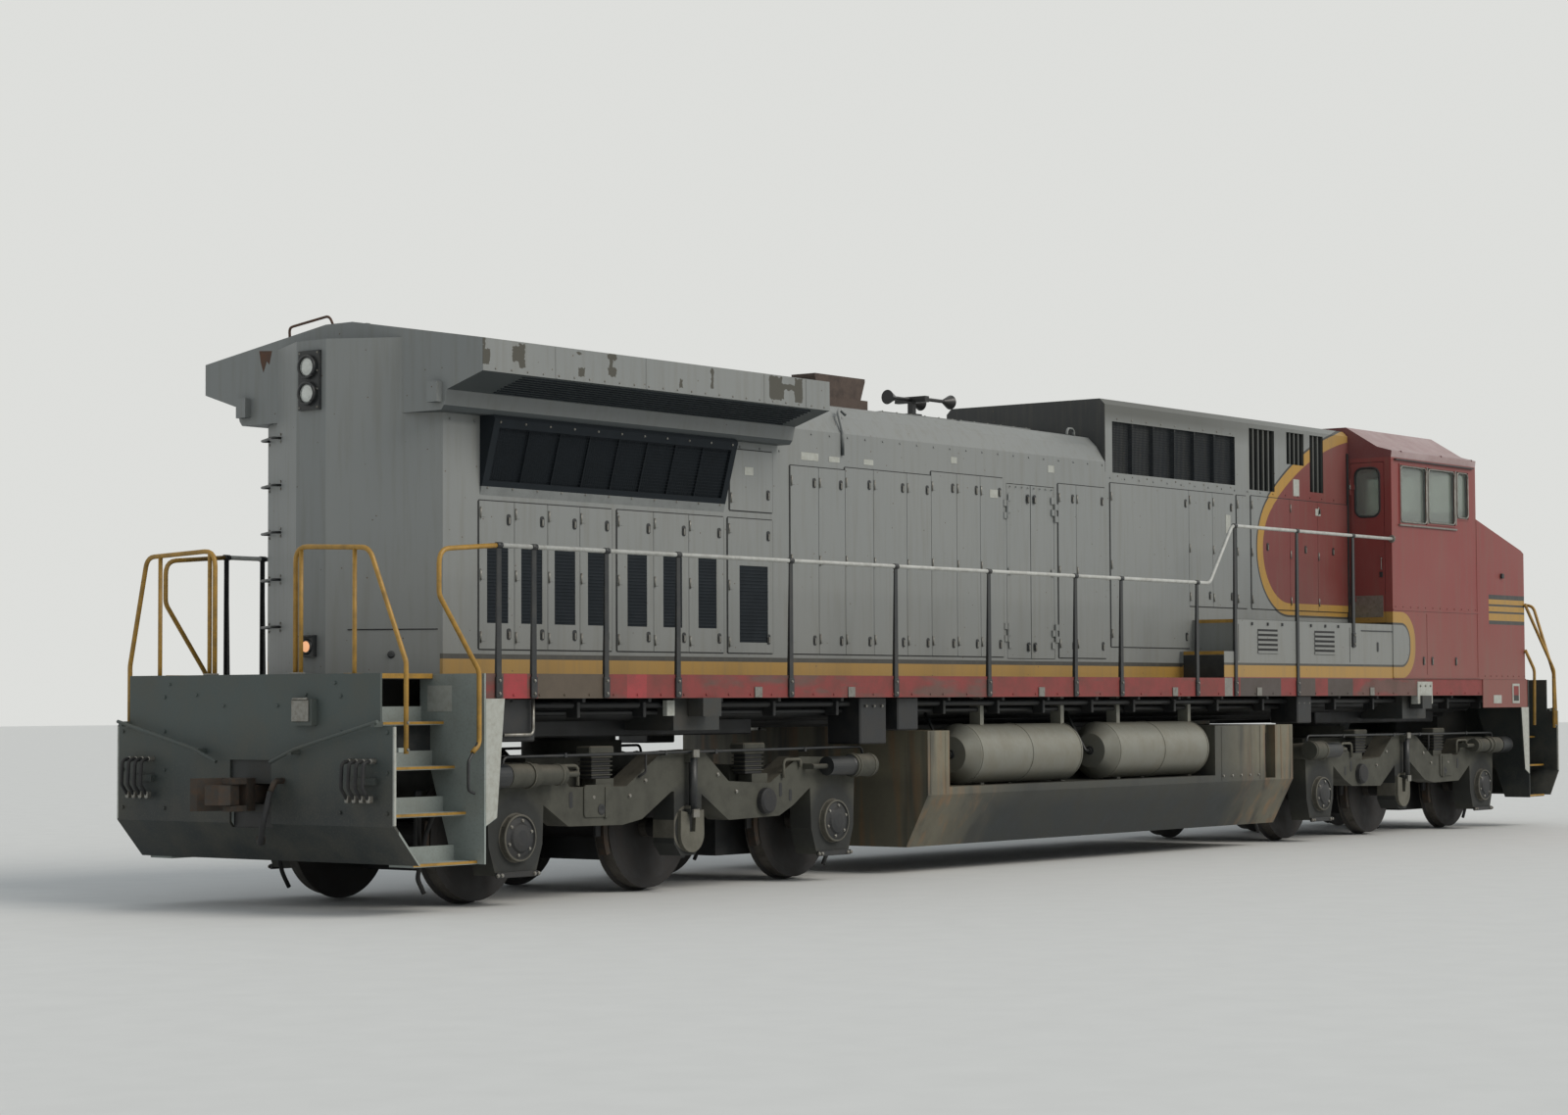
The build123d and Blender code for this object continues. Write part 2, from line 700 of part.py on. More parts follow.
# Exhaust: a flared stack on the hood roof
stack_middle = engine_hood_front - 3410
with BuildPart() as exhaust_stack:
    block((stack_middle - 430, stack_middle + 430), (-150, 150), (hood_roof, hood_roof + 90))
    flare = [(stack_middle - 330, hood_roof + 90), (stack_middle + 330, hood_roof + 90),
             (stack_middle + 400, hood_roof + 270), (stack_middle + 400, hood_roof + 300),
             (stack_middle - 400, hood_roof + 300), (stack_middle - 400, hood_roof + 270)]
    prism(Plane.XZ.offset(-140), flare, 280)
    block((stack_middle - 340, stack_middle + 340), (-90, 90), (hood_roof + 120, hood_roof + 301),
          Mode.SUBTRACT)
keep(exhaust_stack, "exhaust_stack")


# Horn: three trumpets on a manifold, two that face forward and one that faces back
horn_x = engine_hood_front - 2030
horn_height = hood_roof + 180
trumpets = [
    # across, which way it faces, length
    (-150, 1, 420),
    (0, -1, 380),
    (150, 1, 330),
]
with BuildPart() as horn:
    block((horn_x - 90, horn_x + 90), (-60, 60), (hood_roof, hood_roof + 40))
    block((horn_x - 30, horn_x + 30), (-30, 30), (hood_roof + 40, horn_height - 30))
    block((horn_x - 35, horn_x + 35), (-185, 185), (horn_height - 30, horn_height + 30))
    for y, facing_way, length in trumpets:
        throat = horn_x + facing_way * 35
        bell = throat + facing_way * (length - 130)
        along(18, y, horn_height, sorted((throat, bell)))
        with BuildSketch(Plane.YZ.offset(bell)) as bell_small:
            with Locations((y, horn_height)):
                Circle(20)
        with BuildSketch(Plane.YZ.offset(bell + facing_way * 130)) as bell_large:
            with Locations((y, horn_height)):
                Circle(72)
        loft([bell_small.sketch.face(), bell_large.sketch.face()])
keep(horn, "horn")


# Tall housing behind the cab: electrical cabinets below, brake grids above
grid_screens = [
    # rear x, front x, foot above rail, head above rail, upright bars
    (650, 3190, 3900, 4430, 5),
    (3505, 4075, 3870, 4550, 4),
    (4355, 4760, 4200, 4560, 3),
    (4900, 5220, 3912, 4560, 2),
]
grid_recess = 60
grid_bar_width = 26
grid_bar_drop = 12
with BuildPart() as grid_housing:
    section = both_ways([(hood_half_width, deck_top), (hood_half_width, grid_top - grid_chamfer),
                         (hood_half_width - grid_chamfer, grid_top)])
    prism(Plane.YZ.offset(engine_hood_front), section, cab_rear - engine_hood_front)
    recesses = [(rear, front, rail + foot, rail + head) for rear, front, foot, head, bars in grid_screens]
    bars = [(rear + bar * (front - rear) / (count + 1) - grid_bar_width / 2,
             rear + bar * (front - rear) / (count + 1) + grid_bar_width / 2, rail + foot, rail + head)
            for rear, front, foot, head, count in grid_screens for bar in range(1, count + 1)]
    for side in (-1, 1):
        inward = (0, -side, 0)
        rectangles(Plane.XZ.offset(-side * hood_half_width), recesses, grid_recess, inward, Mode.SUBTRACT)
        rectangles(Plane.XZ.offset(-side * (hood_half_width - grid_bar_drop)), bars,
                   grid_recess - grid_bar_drop, inward)
keep(grid_housing, "grid_housing")


# Raised walkways: a cabinet with louvres on each side, with one step up to it
louvre_rows = 5
louvre_proud = 12
louvres = [
    # rear x, front x
    (2681, 3127),
    (3952, 4425),
]
louvre_foot = rail + 2055
louvre_pitch = 52
louvre_height = 26
with BuildPart() as walkway_boxes:
    for side in (-1, 1):
        width = sorted((side * hood_half_width, side * deck_half_width))
        block((raised_rear, cab_rear), width, (deck_top, raised_top))
        block((raised_step_rear, raised_rear), width, (deck_top, raised_step_top))
        rectangles(Plane.XZ.offset(-side * deck_half_width),
                   [(rear, front, louvre_foot + row * louvre_pitch,
                     louvre_foot + row * louvre_pitch + louvre_height)
                    for rear, front in louvres for row in range(louvre_rows)], louvre_proud, (0, side, 0))
keep(walkway_boxes, "walkway_boxes")


# Cab shell: floor, side walls, rear wall and front wall, with windows and doorways cut
side_windows = [
    # rear x, front x, foot above rail, head above rail
    (6040, 6720, 3590, 4260),
    (6755, 7470, 3610, 4260),
    (7515, 7830, 3700, 4260),
]
windshields = [
    # inner y, outer y
    (90, cab_half_width - 770),
    (cab_half_width - 700, cab_half_width - 90),
]
windshield_foot = rail + 3800
windshield_head = rail + 4270
window_border = 16
window_border_proud = 8


def cab_door_frame(side):
    """The hinge line of one cab door, with x along its leaf."""
    return Plane(origin=(cab_rear - hinge_lift, side * cab_door_inner, cab_door_foot),
                 x_dir=(0, side, 0), z_dir=(0, 0, 1))


with BuildPart() as cab_shell:
    block((cab_rear, cab_front), (-cab_half_width, cab_half_width), (deck_top, cab_eave))
    block((cab_rear + cab_wall, cab_front - cab_wall),
          (-cab_half_width + cab_wall, cab_half_width - cab_wall),
          (cab_floor_top, cab_eave + 1), Mode.SUBTRACT)
    block((cab_front - cab_wall - 1, cab_front + 1), (230 - cab_half_width, cab_half_width - 230),
          (cab_floor_top, rail + 3600), Mode.SUBTRACT)
    for side in (-1, 1):
        border = sorted((side * cab_half_width, side * (cab_half_width + window_border_proud)))
        for rear, front, foot, head in side_windows:
            wall = sorted((side * (cab_half_width - cab_wall - 1), side * (cab_half_width + 1)))
            frame_round((rear, front), border, (rail + foot, rail + head), window_border)
            block((rear, front), wall, (rail + foot, rail + head), Mode.SUBTRACT)
        for inner, outer in windshields:
            block((cab_front - cab_wall - 1, cab_front + 1), sorted((side * inner, side * outer)),
                  (windshield_foot, windshield_head), Mode.SUBTRACT)
        block((cab_rear - 1, cab_rear + cab_wall + 1),
              sorted((side * cab_door_inner, side * cab_door_outer)),
              (cab_door_foot, cab_door_head), Mode.SUBTRACT)
        hinge_fixed(cab_door_frame(side), side, cab_door_head - cab_door_foot,
                    cab_door_inner - hood_half_width - 1)
keep(cab_shell, "cab_shell")


# Cab doors: one in the rear wall on each side, hinged beside the hood, each with a window
for side, label in ((-1, "cab_door_right"), (1, "cab_door_left")):
    with BuildPart() as cab_door:
        width = cab_door_outer - cab_door_inner
        frame = cab_door_frame(side)
        hinged_leaf(frame, side, width, cab_door_head - cab_door_foot)
        window = (rail + 3660 - cab_door_foot, rail + 4225 - cab_door_foot)
        placed_block(frame, (60, width - 60), (-side * hinge_lift, -side * (hinge_lift + door_thickness)),
                     window, Mode.SUBTRACT)
        placed_block(frame, (60, width - 60),
                     (-side * (hinge_lift + 10), -side * (hinge_lift + 20)), window)
    keep(cab_door, label)


# Cab glass: one pane in each window
glass_thickness = 12
with BuildPart() as cab_glass:
    for side in (-1, 1):
        for rear, front, foot, head in side_windows:
            middle = cab_half_width - cab_wall / 2
            pane = sorted((side * (middle - glass_thickness / 2), side * (middle + glass_thickness / 2)))
            block((rear, front), pane, (rail + foot, rail + head))
        for inner, outer in windshields:
            middle = cab_front - cab_wall / 2
            block((middle - glass_thickness / 2, middle + glass_thickness / 2),
                  sorted((side * inner, side * outer)), (windshield_foot, windshield_head))
keep(cab_glass, "cab_glass")


# Cab roof: a shallow gull-wing section with a drip edge along its sides
with BuildPart() as cab_roof:
    outside = both_ways([(cab_half_width, cab_eave), (cab_half_width + 10, cab_roof_edge),
                         (cab_roof_knee_half_width, cab_roof_knee), (cab_roof_half_width, cab_roof_top)])
    prism(Plane.YZ.offset(cab_rear), outside, cab_front - cab_rear)
    lift = cab_roof_thickness
    inside = both_ways([(cab_half_width - cab_wall, cab_eave - 1),
                        (cab_roof_knee_half_width - lift, cab_roof_knee - lift),
                        (cab_roof_half_width - lift, cab_roof_top - lift)])
    prism(Plane.YZ.offset(cab_rear + cab_wall), inside, cab_front - cab_rear - 2 * cab_wall,
          Mode.SUBTRACT)
keep(cab_roof, "cab_roof")


# Nose: a hollow wedge with bevelled corners, open to the cab, with a doorway to the platform
def nose_plan(inset):
    """The nose in plan, for +Y and then mirrored, moved in by the wall."""
    return both_sides([(cab_front - (0 if inset == 0 else 1), cab_half_width - inset),
                       (nose_bevel_x - inset * 0.5, cab_half_width - inset),
                       (nose_front - inset, nose_face_half_width - inset * 0.4)])


nose_profile = [(cab_front, deck_top), (nose_front, deck_top), (nose_front - nose_front_lean, nose_knee),
                (nose_bevel_x - 74, nose_top_front), (cab_front, nose_top_rear)]
nose_room_profile = [(cab_front, deck_top + nose_wall), (nose_front - nose_wall, deck_top + nose_wall),
                     (nose_front - nose_front_lean - nose_wall, nose_knee - nose_wall / 2),
                     (nose_bevel_x - 74 - nose_wall, nose_top_front - nose_wall),
                     (cab_front, nose_top_rear - nose_wall)]
nose_lean = atan2(nose_front_lean, nose_knee - deck_top)
nose_outward = Vector(cos(nose_lean), 0, sin(nose_lean))
nose_upward = Vector(-sin(nose_lean), 0, cos(nose_lean))
nose_door_origin = (Vector(nose_front, nose_door_middle - nose_door_half_width, deck_top)
                    + nose_upward * nose_door_foot + nose_outward * hinge_lift)
nose_door_frame = Plane(origin=nose_door_origin, x_dir=(0, 1, 0), z_dir=nose_upward)
with BuildPart() as nose_room:
    prism(Plane.XY.offset(deck_top + nose_wall), nose_plan(nose_wall), nose_top_rear)
    prism(Plane.XZ.offset(-cab_half_width), nose_room_profile, 2 * cab_half_width, Mode.INTERSECT)
with BuildPart() as nose:
    prism(Plane.XY.offset(deck_top), nose_plan(0), nose_top_rear - deck_top)
    prism(Plane.XZ.offset(-cab_half_width), nose_profile, 2 * cab_half_width, Mode.INTERSECT)
    add(nose_room.part, mode=Mode.SUBTRACT)
    for side in (-1, 1):
        skirt = sorted((side * cab_half_width, side * (cab_half_width - skirt_thickness)))
        block((skirt_rear, step_plate_front), skirt, (skirt_bottom, deck_top))
    placed_block(nose_door_frame, (0, 2 * nose_door_half_width), (hinge_lift - 1, hinge_lift + 2 * nose_wall),
                 (0, nose_door_height), Mode.SUBTRACT)
    hinge_fixed(nose_door_frame, -1, nose_door_height, hinge_strap_reach)
keep(nose, "nose")


# Nose door: a leaf that lies in the sloping front face
with BuildPart() as nose_door:
    hinged_leaf(nose_door_frame, -1, 2 * nose_door_half_width, nose_door_height)
keep(nose_door, "nose_door")


# Cab seats: two padded seats on pedestals
with BuildPart() as cab_seats:
    for side in (-1, 1):
        middle = side * (cab_half_width - 580)
        seat_x = cab_front - 1240
        block((seat_x - 60, seat_x + 60), (middle - 60, middle + 60), (cab_floor_top, cab_floor_top + 420))
        block((seat_x - 250, seat_x + 250), (middle - 250, middle + 250),
              (cab_floor_top + 420, cab_floor_top + 520))
        block((seat_x - 300, seat_x - 200), (middle - 240, middle + 240),
              (cab_floor_top + 520, cab_floor_top + 1180))
keep(cab_seats, "cab_seats")


# Control stand: a desk across each side of the cab front
with BuildPart() as control_stand:
    for side in (-1, 1):
        desk_outer = cab_half_width - cab_wall - 50
        block((cab_front - 590, cab_front - 140), sorted((side * (desk_outer - 920), side * desk_outer)),
              (cab_floor_top, cab_floor_top + 1000))
keep(control_stand, "control_stand")


# Side handrails: stanchions on the sill and a top rail that steps up to the cab
stanchion_places = [-9180, -8780, -7920, -7020, -5500, -3950, -2450, -940, -90, 1400]
raised_stanchion_places = [2200, 3560, 4865]
stanchion_foot = rail + 1600
for side, label in ((-1, "handrail_right"), (1, "handrail_left")):
    with BuildPart() as handrail:
        outer = sorted((side * deck_half_width, side * (deck_half_width + stanchion_depth)))
        for places, top in ((stanchion_places, handrail_top), (raised_stanchion_places, raised_rail_top)):
            for x in places:
                block((x - stanchion_width / 2, x + stanchion_width / 2), outer, (stanchion_foot, top))
        y = side * (deck_half_width + stanchion_depth / 2)
        rail_run([(-step_plate_rear - 139, y, rail + 1189), (-step_plate_rear - 63, y, rail + 1248),
                  (-step_plate_rear - 63, y, rail + 1806), (-end_plate_x + 483, y, rail + 2378),
                  (-end_plate_x + 483, y, rail + 2724), (-step_plate_rear + 155, y, handrail_top),
                  (raised_rear - 580, y, handrail_top), (raised_rear - 95, y, raised_rail_top),
                  (cab_rear - seat_gap, y, raised_rail_top)])
        lug = sorted((y, side * deck_half_width))
        block((-step_plate_rear - 63, -step_plate_rear - step_plate_thickness), lug,
              (rail + 1250, rail + 1290))
    keep(handrail, label)


# End handrails: posts on the end plate and a bent rail over each platform; the front also
# has a pair of grab rails beside each stair
end_posts = [
    # across, foot
    (450, deck_top),
    (510, deck_top),
    (1085, rail + 1500),
]
for end, label in ((-1, "end_rails_rear"), (1, "end_rails_front")):
    with BuildPart() as end_rails:
        x = end * (end_plate_inner - rail_end_x / 2)
        for side in (-1, 1):
            for across_y, foot in end_posts:
                block((x - rail_end_x / 2, x + rail_end_x / 2),
                      sorted((side * (across_y - 15), side * (across_y + 15))), (foot, end_rail_top))
            stair_x = x - end * 85
            rail_run([(x, side * end_posts[0][0], end_rail_top), (x, side * 1240, end_rail_top - 30),
                      (stair_x, side * pilot_half_width, rail + 1870),
                      (stair_x, side * pilot_half_width, rail + 1190)])
            block(sorted((stair_x, end * end_plate_inner)),
                  sorted((side * (pilot_half_width - 20), side * pilot_half_width)),
                  (rail + 1200, rail + 1235))
            if end == 1:
                grab_y = side * (cab_half_width + handrail_radius + seat_gap)
                rail_run([(nose_bevel_x - 20, grab_y, rail + 2717), (nose_front + 453, grab_y, rail + 1910),
                          (stair_x + 40, grab_y, rail + 1221)])
                rail_run([(nose_bevel_x - 20, grab_y, rail + 2148), (nose_front - 130, grab_y, rail + 1907),
                          (nose_front - 154, grab_y, rail + 1228)])
    keep(end_rails, label)


# Bogie frames: cast side frames that rise in a wave over the middle axle, with pedestals
# round the axle boxes, joined by transoms and a centre bowl
side_frame = [
    # toward the locomotive's end from the bogie centre, above rail
    (2440, 1040), (2080, 1095), (1600, 1070), (1430, 885), (740, 878), (285, 1150), (-240, 1165),
    (-600, 890), (-1170, 860), (-1590, 1083), (-2460, 1060), (-2460, 900), (-1830, 860), (-1500, 660),
    (-1300, 575), (-600, 560), (-200, 812), (160, 822), (540, 605), (790, 565), (1450, 575), (1880, 833),
    (2440, 880),
]
pedestal = [
    # along from its axle, above its axle
    (-330, 400), (-310, -60), (-230, -290), (230, -290), (310, -60), (330, 400),
]
middle_pedestal = [
    # along from its axle, above its axle
    (-180, 330), (-180, -120), (-90, -225), (90, -225), (180, -120), (180, 330),
]
spring_seat_places = [-1080, 960]
for end, label in ((-1, "bogie_frame_rear"), (1, "bogie_frame_front")):
    with BuildPart() as bogie_frame:
        outline = [(end * (bogie_x + x), rail + z) for x, z in side_frame]
        for side in (-1, 1):
            outer = max(side * frame_inner, side * frame_outer)
            rounded_prism(Plane.XZ.offset(-outer), outline, frame_corner, frame_outer - frame_inner)
            for offset, shape in ((axle_spread, pedestal), (-middle_axle_offset, middle_pedestal),
                                  (-axle_spread, pedestal)):
                x = end * (bogie_x + offset)
                prism(Plane.XZ.offset(-outer), [(x + along_x, axle_height + z) for along_x, z in shape],
                      frame_outer - frame_inner)
            for offset in (axle_spread, -axle_spread):
                cap_y = sorted((side * frame_outer, side * (frame_outer + journal_cap_depth)))
                with BuildSketch(Plane.XZ.offset(-cap_y[1])) as cap:
                    with Locations((end * (bogie_x + offset), axle_height)):
                        RegularPolygon(journal_cap_radius, 12)
                extrude(cap.sketch, amount=journal_cap_depth)
            for place in spring_seat_places:
                seat_y = sorted((side * (frame_inner + 40), side * (frame_outer - 40)))
                block((end * bogie_x + end * place - 110, end * bogie_x + end * place + 110), seat_y,
                      (rail + 860, rail + 945))
        for place in (-1, 1):
            x = end * bogie_x + place * transom_offset
            block((x - 160, x + 160), (-frame_inner, frame_inner), (transom_foot, rail + 1020))
            for side in (-1, 1):
                block((x - 160, x + 160), sorted((side * (frame_inner - 60), side * (frame_inner + 1))),
                      (transom_foot - 120, transom_foot + 1))
        block((end * bogie_x - 1220, end * bogie_x + 1220), (-580, 580), (rail + 880, bolster_top))
        upright(centre_plate_face + 60 - bolster_top, centre_plate_radius + bowl_wall + free_gap,
                (end * bogie_x, 0), bolster_top)
        upright(61, centre_plate_radius + free_gap, (end * bogie_x, 0), centre_plate_face,
                Mode.SUBTRACT)
        for side in (-1, 1):
            for offset in (axle_spread, -middle_axle_offset, -axle_spread):
                across(journal_radius + pin_gap, end * (bogie_x + offset), axle_height,
                       sorted((side * (frame_inner - 1), side * (journal_end + 5))), Mode.SUBTRACT)
    keep(bogie_frame, label)


# Wheelsets: an axle with two flanged, dished wheels, turned as one piece
axle_places = [-bogie_x - axle_spread, middle_axle_offset - bogie_x, axle_spread - bogie_x,
               bogie_x - axle_spread, bogie_x - middle_axle_offset, bogie_x + axle_spread]
half_wheelset = [
    # radius, distance from the centreline
    (axle_radius, wheel_back), (wheel_radius + flange_depth, wheel_back),
    (wheel_radius + flange_depth, wheel_back + flange_tip), (wheel_radius + 3, wheel_back + flange_root),
    (wheel_radius, wheel_back + wheel_width), (wheel_radius - rim_depth, wheel_back + wheel_width),
    (journal_radius, wheel_back + wheel_width - web_depth), (journal_radius, journal_end),
]
for number, x in enumerate(axle_places, start=1):
    with BuildPart() as wheelset:
        with BuildSketch(Plane(origin=(x, 0, axle_height), x_dir=(0, 0, 1), z_dir=(1, 0, 0))):
            with BuildLine():
                Polyline(half_wheelset + [(0, journal_end), (0, -journal_end)]
                         + [(radius, -y) for radius, y in reversed(half_wheelset)], close=True)
            make_face()
        revolve(axis=Axis((x, 0, axle_height), (0, 1, 0)))
    keep(wheelset, f"wheelset_{number}")


# Couplers: a shank on the draft pin, a head with a guard arm, and a knuckle on its own pin
head_outline = [
    # back from the coupling face, out on the knuckle side
    (-400, -110), (-260, -150), (-60, -215), (-20, -200), (-45, -150), (-150, -100), (-230, -60),
    (-230, 10), (-120, 55), (-120, 150), (-260, 165), (-400, 110),
]
knuckle_outline = [
    (-215, 130), (-110, 150), (-25, 115), (0, 60), (0, -15), (-30, -30), (-75, -15), (-75, 35),
    (-115, 50), (-215, 50),
]
knuckle_pivot = (-165, 95)
head_half_height = 125
knuckle_half_height = 75


def facing(points):
    """Turn an outline seen from its own end to the end that it belongs to."""
    return [(end * (half_length + back), end * out) for back, out in points]


for end, end_name in ((-1, "rear"), (1, "front")):
    with BuildPart() as coupler:
        block(sorted((end * (coupler_pin_x - 90), end * (half_length - 390))),
              (-shank_half_width, shank_half_width),
              (coupler_height - shank_half_height, coupler_height + shank_half_height))
        upright(4 * shank_half_height, coupler_pin_radius + pin_gap, (end * coupler_pin_x, 0),
                coupler_height - 2 * shank_half_height, Mode.SUBTRACT)
        prism(Plane.XY.offset(coupler_height - head_half_height), facing(head_outline),
              2 * head_half_height)
        slot = facing([(-260, -56), (1, -56), (1, 170), (-260, 170)])
        prism(Plane.XY.offset(coupler_height - knuckle_half_height - free_gap), slot,
              2 * (knuckle_half_height + free_gap), Mode.SUBTRACT)
        upright(2 * head_half_height, knuckle_pin_radius, facing([knuckle_pivot])[0],
                coupler_height - head_half_height)
    keep(coupler, f"coupler_{end_name}")
    with BuildPart() as knuckle:
        prism(Plane.XY.offset(coupler_height - knuckle_half_height), facing(knuckle_outline),
              2 * knuckle_half_height)
        upright(2 * knuckle_half_height, knuckle_pin_radius + pin_gap, facing([knuckle_pivot])[0],
                coupler_height - knuckle_half_height, Mode.SUBTRACT)
    keep(knuckle, f"knuckle_{end_name}")


# Traction motors: one beside each axle, with a nose under the nearest transom
motor_half_width = 560
motor_reach = 800
motor_clearance = 20
motor_top = rail + 780
for end, label in ((-1, "motors_rear"), (1, "motors_front")):
    motor_places = [
        # axle offset, which way the motor lies from it
        (-axle_spread, 1),
        (-end * middle_axle_offset, 1),
        (axle_spread, -1),
    ]
    with BuildPart() as motors:
        for offset, toward in motor_places:
            x = end * bogie_x + offset
            start = x + toward * (axle_radius + motor_clearance)
            body = sorted((start, x + toward * motor_reach))
            block(body, (-motor_half_width, motor_half_width), (rail + 210, motor_top))
            across(axle_radius + motor_clearance, x, axle_height,
                   (-motor_half_width - 1, motor_half_width + 1), Mode.SUBTRACT)
            transom = end * bogie_x + (transom_offset if offset > -axle_spread else -transom_offset)
            nose_span = sorted((x + toward * (motor_reach - 100), transom))
            block(nose_span, (-200, 200), (motor_top - 100, transom_foot))
    keep(motors, label)


# Brake gear: an air cylinder at each end of the side frames, its push rod, and a damper
# that stands over the middle axle
brake_cylinder_radius = 93
brake_cylinder_height = rail + 995
brake_cylinders = [
    # rear x and front x from the bogie centre toward the locomotive's end, radius
    (1960, 2300, 93),
    (1640, 1960, 80),
    (1450, 1640, 22),
    (-2200, -1850, 80),
    (-2500, -2200, 100),
    (-1850, -1640, 22),
]
damper_radius = 34
damper_span = (rail + 630, rail + 1130)
for end, label in ((-1, "brake_gear_rear"), (1, "brake_gear_front")):
    with BuildPart() as brake_gear:
        for side in (-1, 1):
            middle = side * (frame_outer + brake_cylinder_radius + 10)
            for near, far, radius in brake_cylinders:
                along(radius, middle, brake_cylinder_height,
                      sorted((end * (bogie_x + near), end * (bogie_x + far))))
            for near, far in ((1650, 1710), (2090, 2150), (-1900, -1960), (-2260, -2320)):
                block(sorted((end * (bogie_x + near), end * (bogie_x + far))),
                      sorted((side * frame_outer, middle)),
                      (brake_cylinder_height - 40, brake_cylinder_height + 40))
            for near, far in ((1450, 1490), (-1640, -1680)):
                block(sorted((end * (bogie_x + near), end * (bogie_x + far))),
                      sorted((side * frame_outer, middle)),
                      (brake_cylinder_height - 25, brake_cylinder_height + 25))
            damper_x = end * (bogie_x - middle_axle_offset)
            upright(damper_span[1] - damper_span[0], damper_radius,
                    (damper_x, side * (frame_outer + 60)), damper_span[0])
            for foot in (damper_span[0], damper_span[1] - 70):
                block((damper_x - 45, damper_x + 45), sorted((side * frame_outer, side * (frame_outer + 60))),
                      (foot, foot + 70))
    keep(brake_gear, label)


# Rear lamps: twin headlights in one bezel and a marker lamp below
lamp_radius = 92
lamp_heights = [rail + 4000, rail + 4210]
with BuildPart() as rear_lamps:
    block((hood_rear_panel_x - 30, hood_rear_panel_x), (-115, 115), (rail + 3870, rail + 4340))
    for height in lamp_heights:
        along(lamp_radius, 0, height, (hood_rear_panel_x - 55, hood_rear_panel_x - 29))
        along(lamp_radius - 12, 0, height, (hood_rear_panel_x - 56, hood_rear_panel_x - 40), Mode.SUBTRACT)
    block((hood_rear_panel_x - 45, hood_rear_panel_x), (-70, 70), (rail + 1930, rail + 2100))
keep(rear_lamps, "rear_lamps")


# Front lamps: twin headlights between two blank board housings, and two ditch lights
with BuildPart() as front_lamps:
    block((cab_front, cab_front + 40), (-230, 230), (rail + 4390, rail + 4620))
    for side in (-1, 1):
        along(lamp_radius, side * 110, rail + 4505, (cab_front + 39, cab_front + 55))
        block((cab_front, cab_front + 40), sorted((side * 330, side * 900)), (rail + 4390, rail + 4590))
        block((end_plate_x - 260, end_plate_x - 120), sorted((side * 700, side * 900)),
              (deck_top, deck_top + 60))
        along(lamp_radius, side * 800, deck_top + 130, (end_plate_x - 280, end_plate_x - 100))
keep(front_lamps, "front_lamps")


# Grab irons: a ladder of rungs on the left rear panel
with BuildPart() as grab_irons:
    chamfer = Vector(hood_chamfer_x - hood_rear_panel_x, hood_half_width - hood_rear_panel_half_width, 0)
    outward = Vector(-chamfer.Y, chamfer.X, 0).normalized()
    rung_plane = Plane(origin=(hood_rear_panel_x, hood_rear_panel_half_width, 0), x_dir=chamfer,
                       z_dir=(0, 0, 1))
    for height in (2180, 2560, 2940, 3320, 3700):
        placed_block(rung_plane, (500, 520), (0, 70), (rail + height - 10, rail + height + 10))
        placed_block(rung_plane, (860, 880), (0, 70), (rail + height - 10, rail + height + 10))
        placed_block(rung_plane, (500, 880), (60, 80), (rail + height - 10, rail + height + 10))
keep(grab_irons, "grab_irons")
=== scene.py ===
"""Dresses a six-axle diesel locomotive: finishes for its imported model, and its fine parts."""
import json
import math
import random

import bmesh
import bpy
from bpy.props import FloatProperty, FloatVectorProperty
from mathutils import Matrix, Vector


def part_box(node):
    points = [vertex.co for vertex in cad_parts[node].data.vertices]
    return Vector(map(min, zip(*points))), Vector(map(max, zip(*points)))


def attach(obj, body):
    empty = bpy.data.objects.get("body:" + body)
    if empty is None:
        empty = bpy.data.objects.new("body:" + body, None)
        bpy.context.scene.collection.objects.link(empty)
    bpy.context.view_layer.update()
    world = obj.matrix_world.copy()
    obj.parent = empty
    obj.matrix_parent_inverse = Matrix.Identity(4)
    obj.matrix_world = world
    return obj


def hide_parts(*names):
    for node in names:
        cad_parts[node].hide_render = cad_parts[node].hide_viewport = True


bl_info = {
    "name": "Diesel Locomotive Dressing",
    "version": (1, 0, 0),
    "blender": (4, 5, 0),
    "location": "3D View > Sidebar > Locomotive",
    "description": "Paints a packed locomotive model and adds its fine parts",
    "category": "Object",
}

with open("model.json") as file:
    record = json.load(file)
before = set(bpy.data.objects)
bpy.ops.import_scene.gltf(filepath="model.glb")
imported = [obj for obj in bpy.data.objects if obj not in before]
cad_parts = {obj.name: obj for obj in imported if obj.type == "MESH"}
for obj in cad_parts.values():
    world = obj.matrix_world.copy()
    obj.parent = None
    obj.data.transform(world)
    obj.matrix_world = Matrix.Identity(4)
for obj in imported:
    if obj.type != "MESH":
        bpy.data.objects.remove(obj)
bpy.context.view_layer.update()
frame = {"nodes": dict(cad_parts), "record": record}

mounts = {mount["name"]: mount for mount in frame["record"]["mounts"]}
joints = {joint["name"]: joint for joint in frame["record"]["behaviour"]["joints"]}
BODY = "locomotive"
SIDES = ((-1, "right"), (1, "left"))
ENDS = ((-1, "rear"), (1, "front"))

# Places that the parts share, in metres: some given, the rest read from the imported model
RAIL = mounts["track"]["pos_m"][2]
END_PLATE = 10.32
DECK_HALF = 1.52
DECK = 1.79
HOOD_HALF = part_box("grid_housing")[1][1]
DOOR_FACE = abs(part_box("hood_doors")[0][1])
CAB_HALF = 1.53
CAB_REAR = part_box("cab_shell")[0][0] + 0.024
CAB_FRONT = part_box("front_lamps")[0][0]
BOGIE_X = abs(joints["bogie_rear_swivel"]["pos_m"][0])
AXLES = [joints[f"wheelset_{number}_roll"]["pos_m"][0] for number in range(1, 7)]
AXLE_HEIGHT = joints["wheelset_1_roll"]["pos_m"][2]
GRID_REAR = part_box("grid_housing")[0][0]


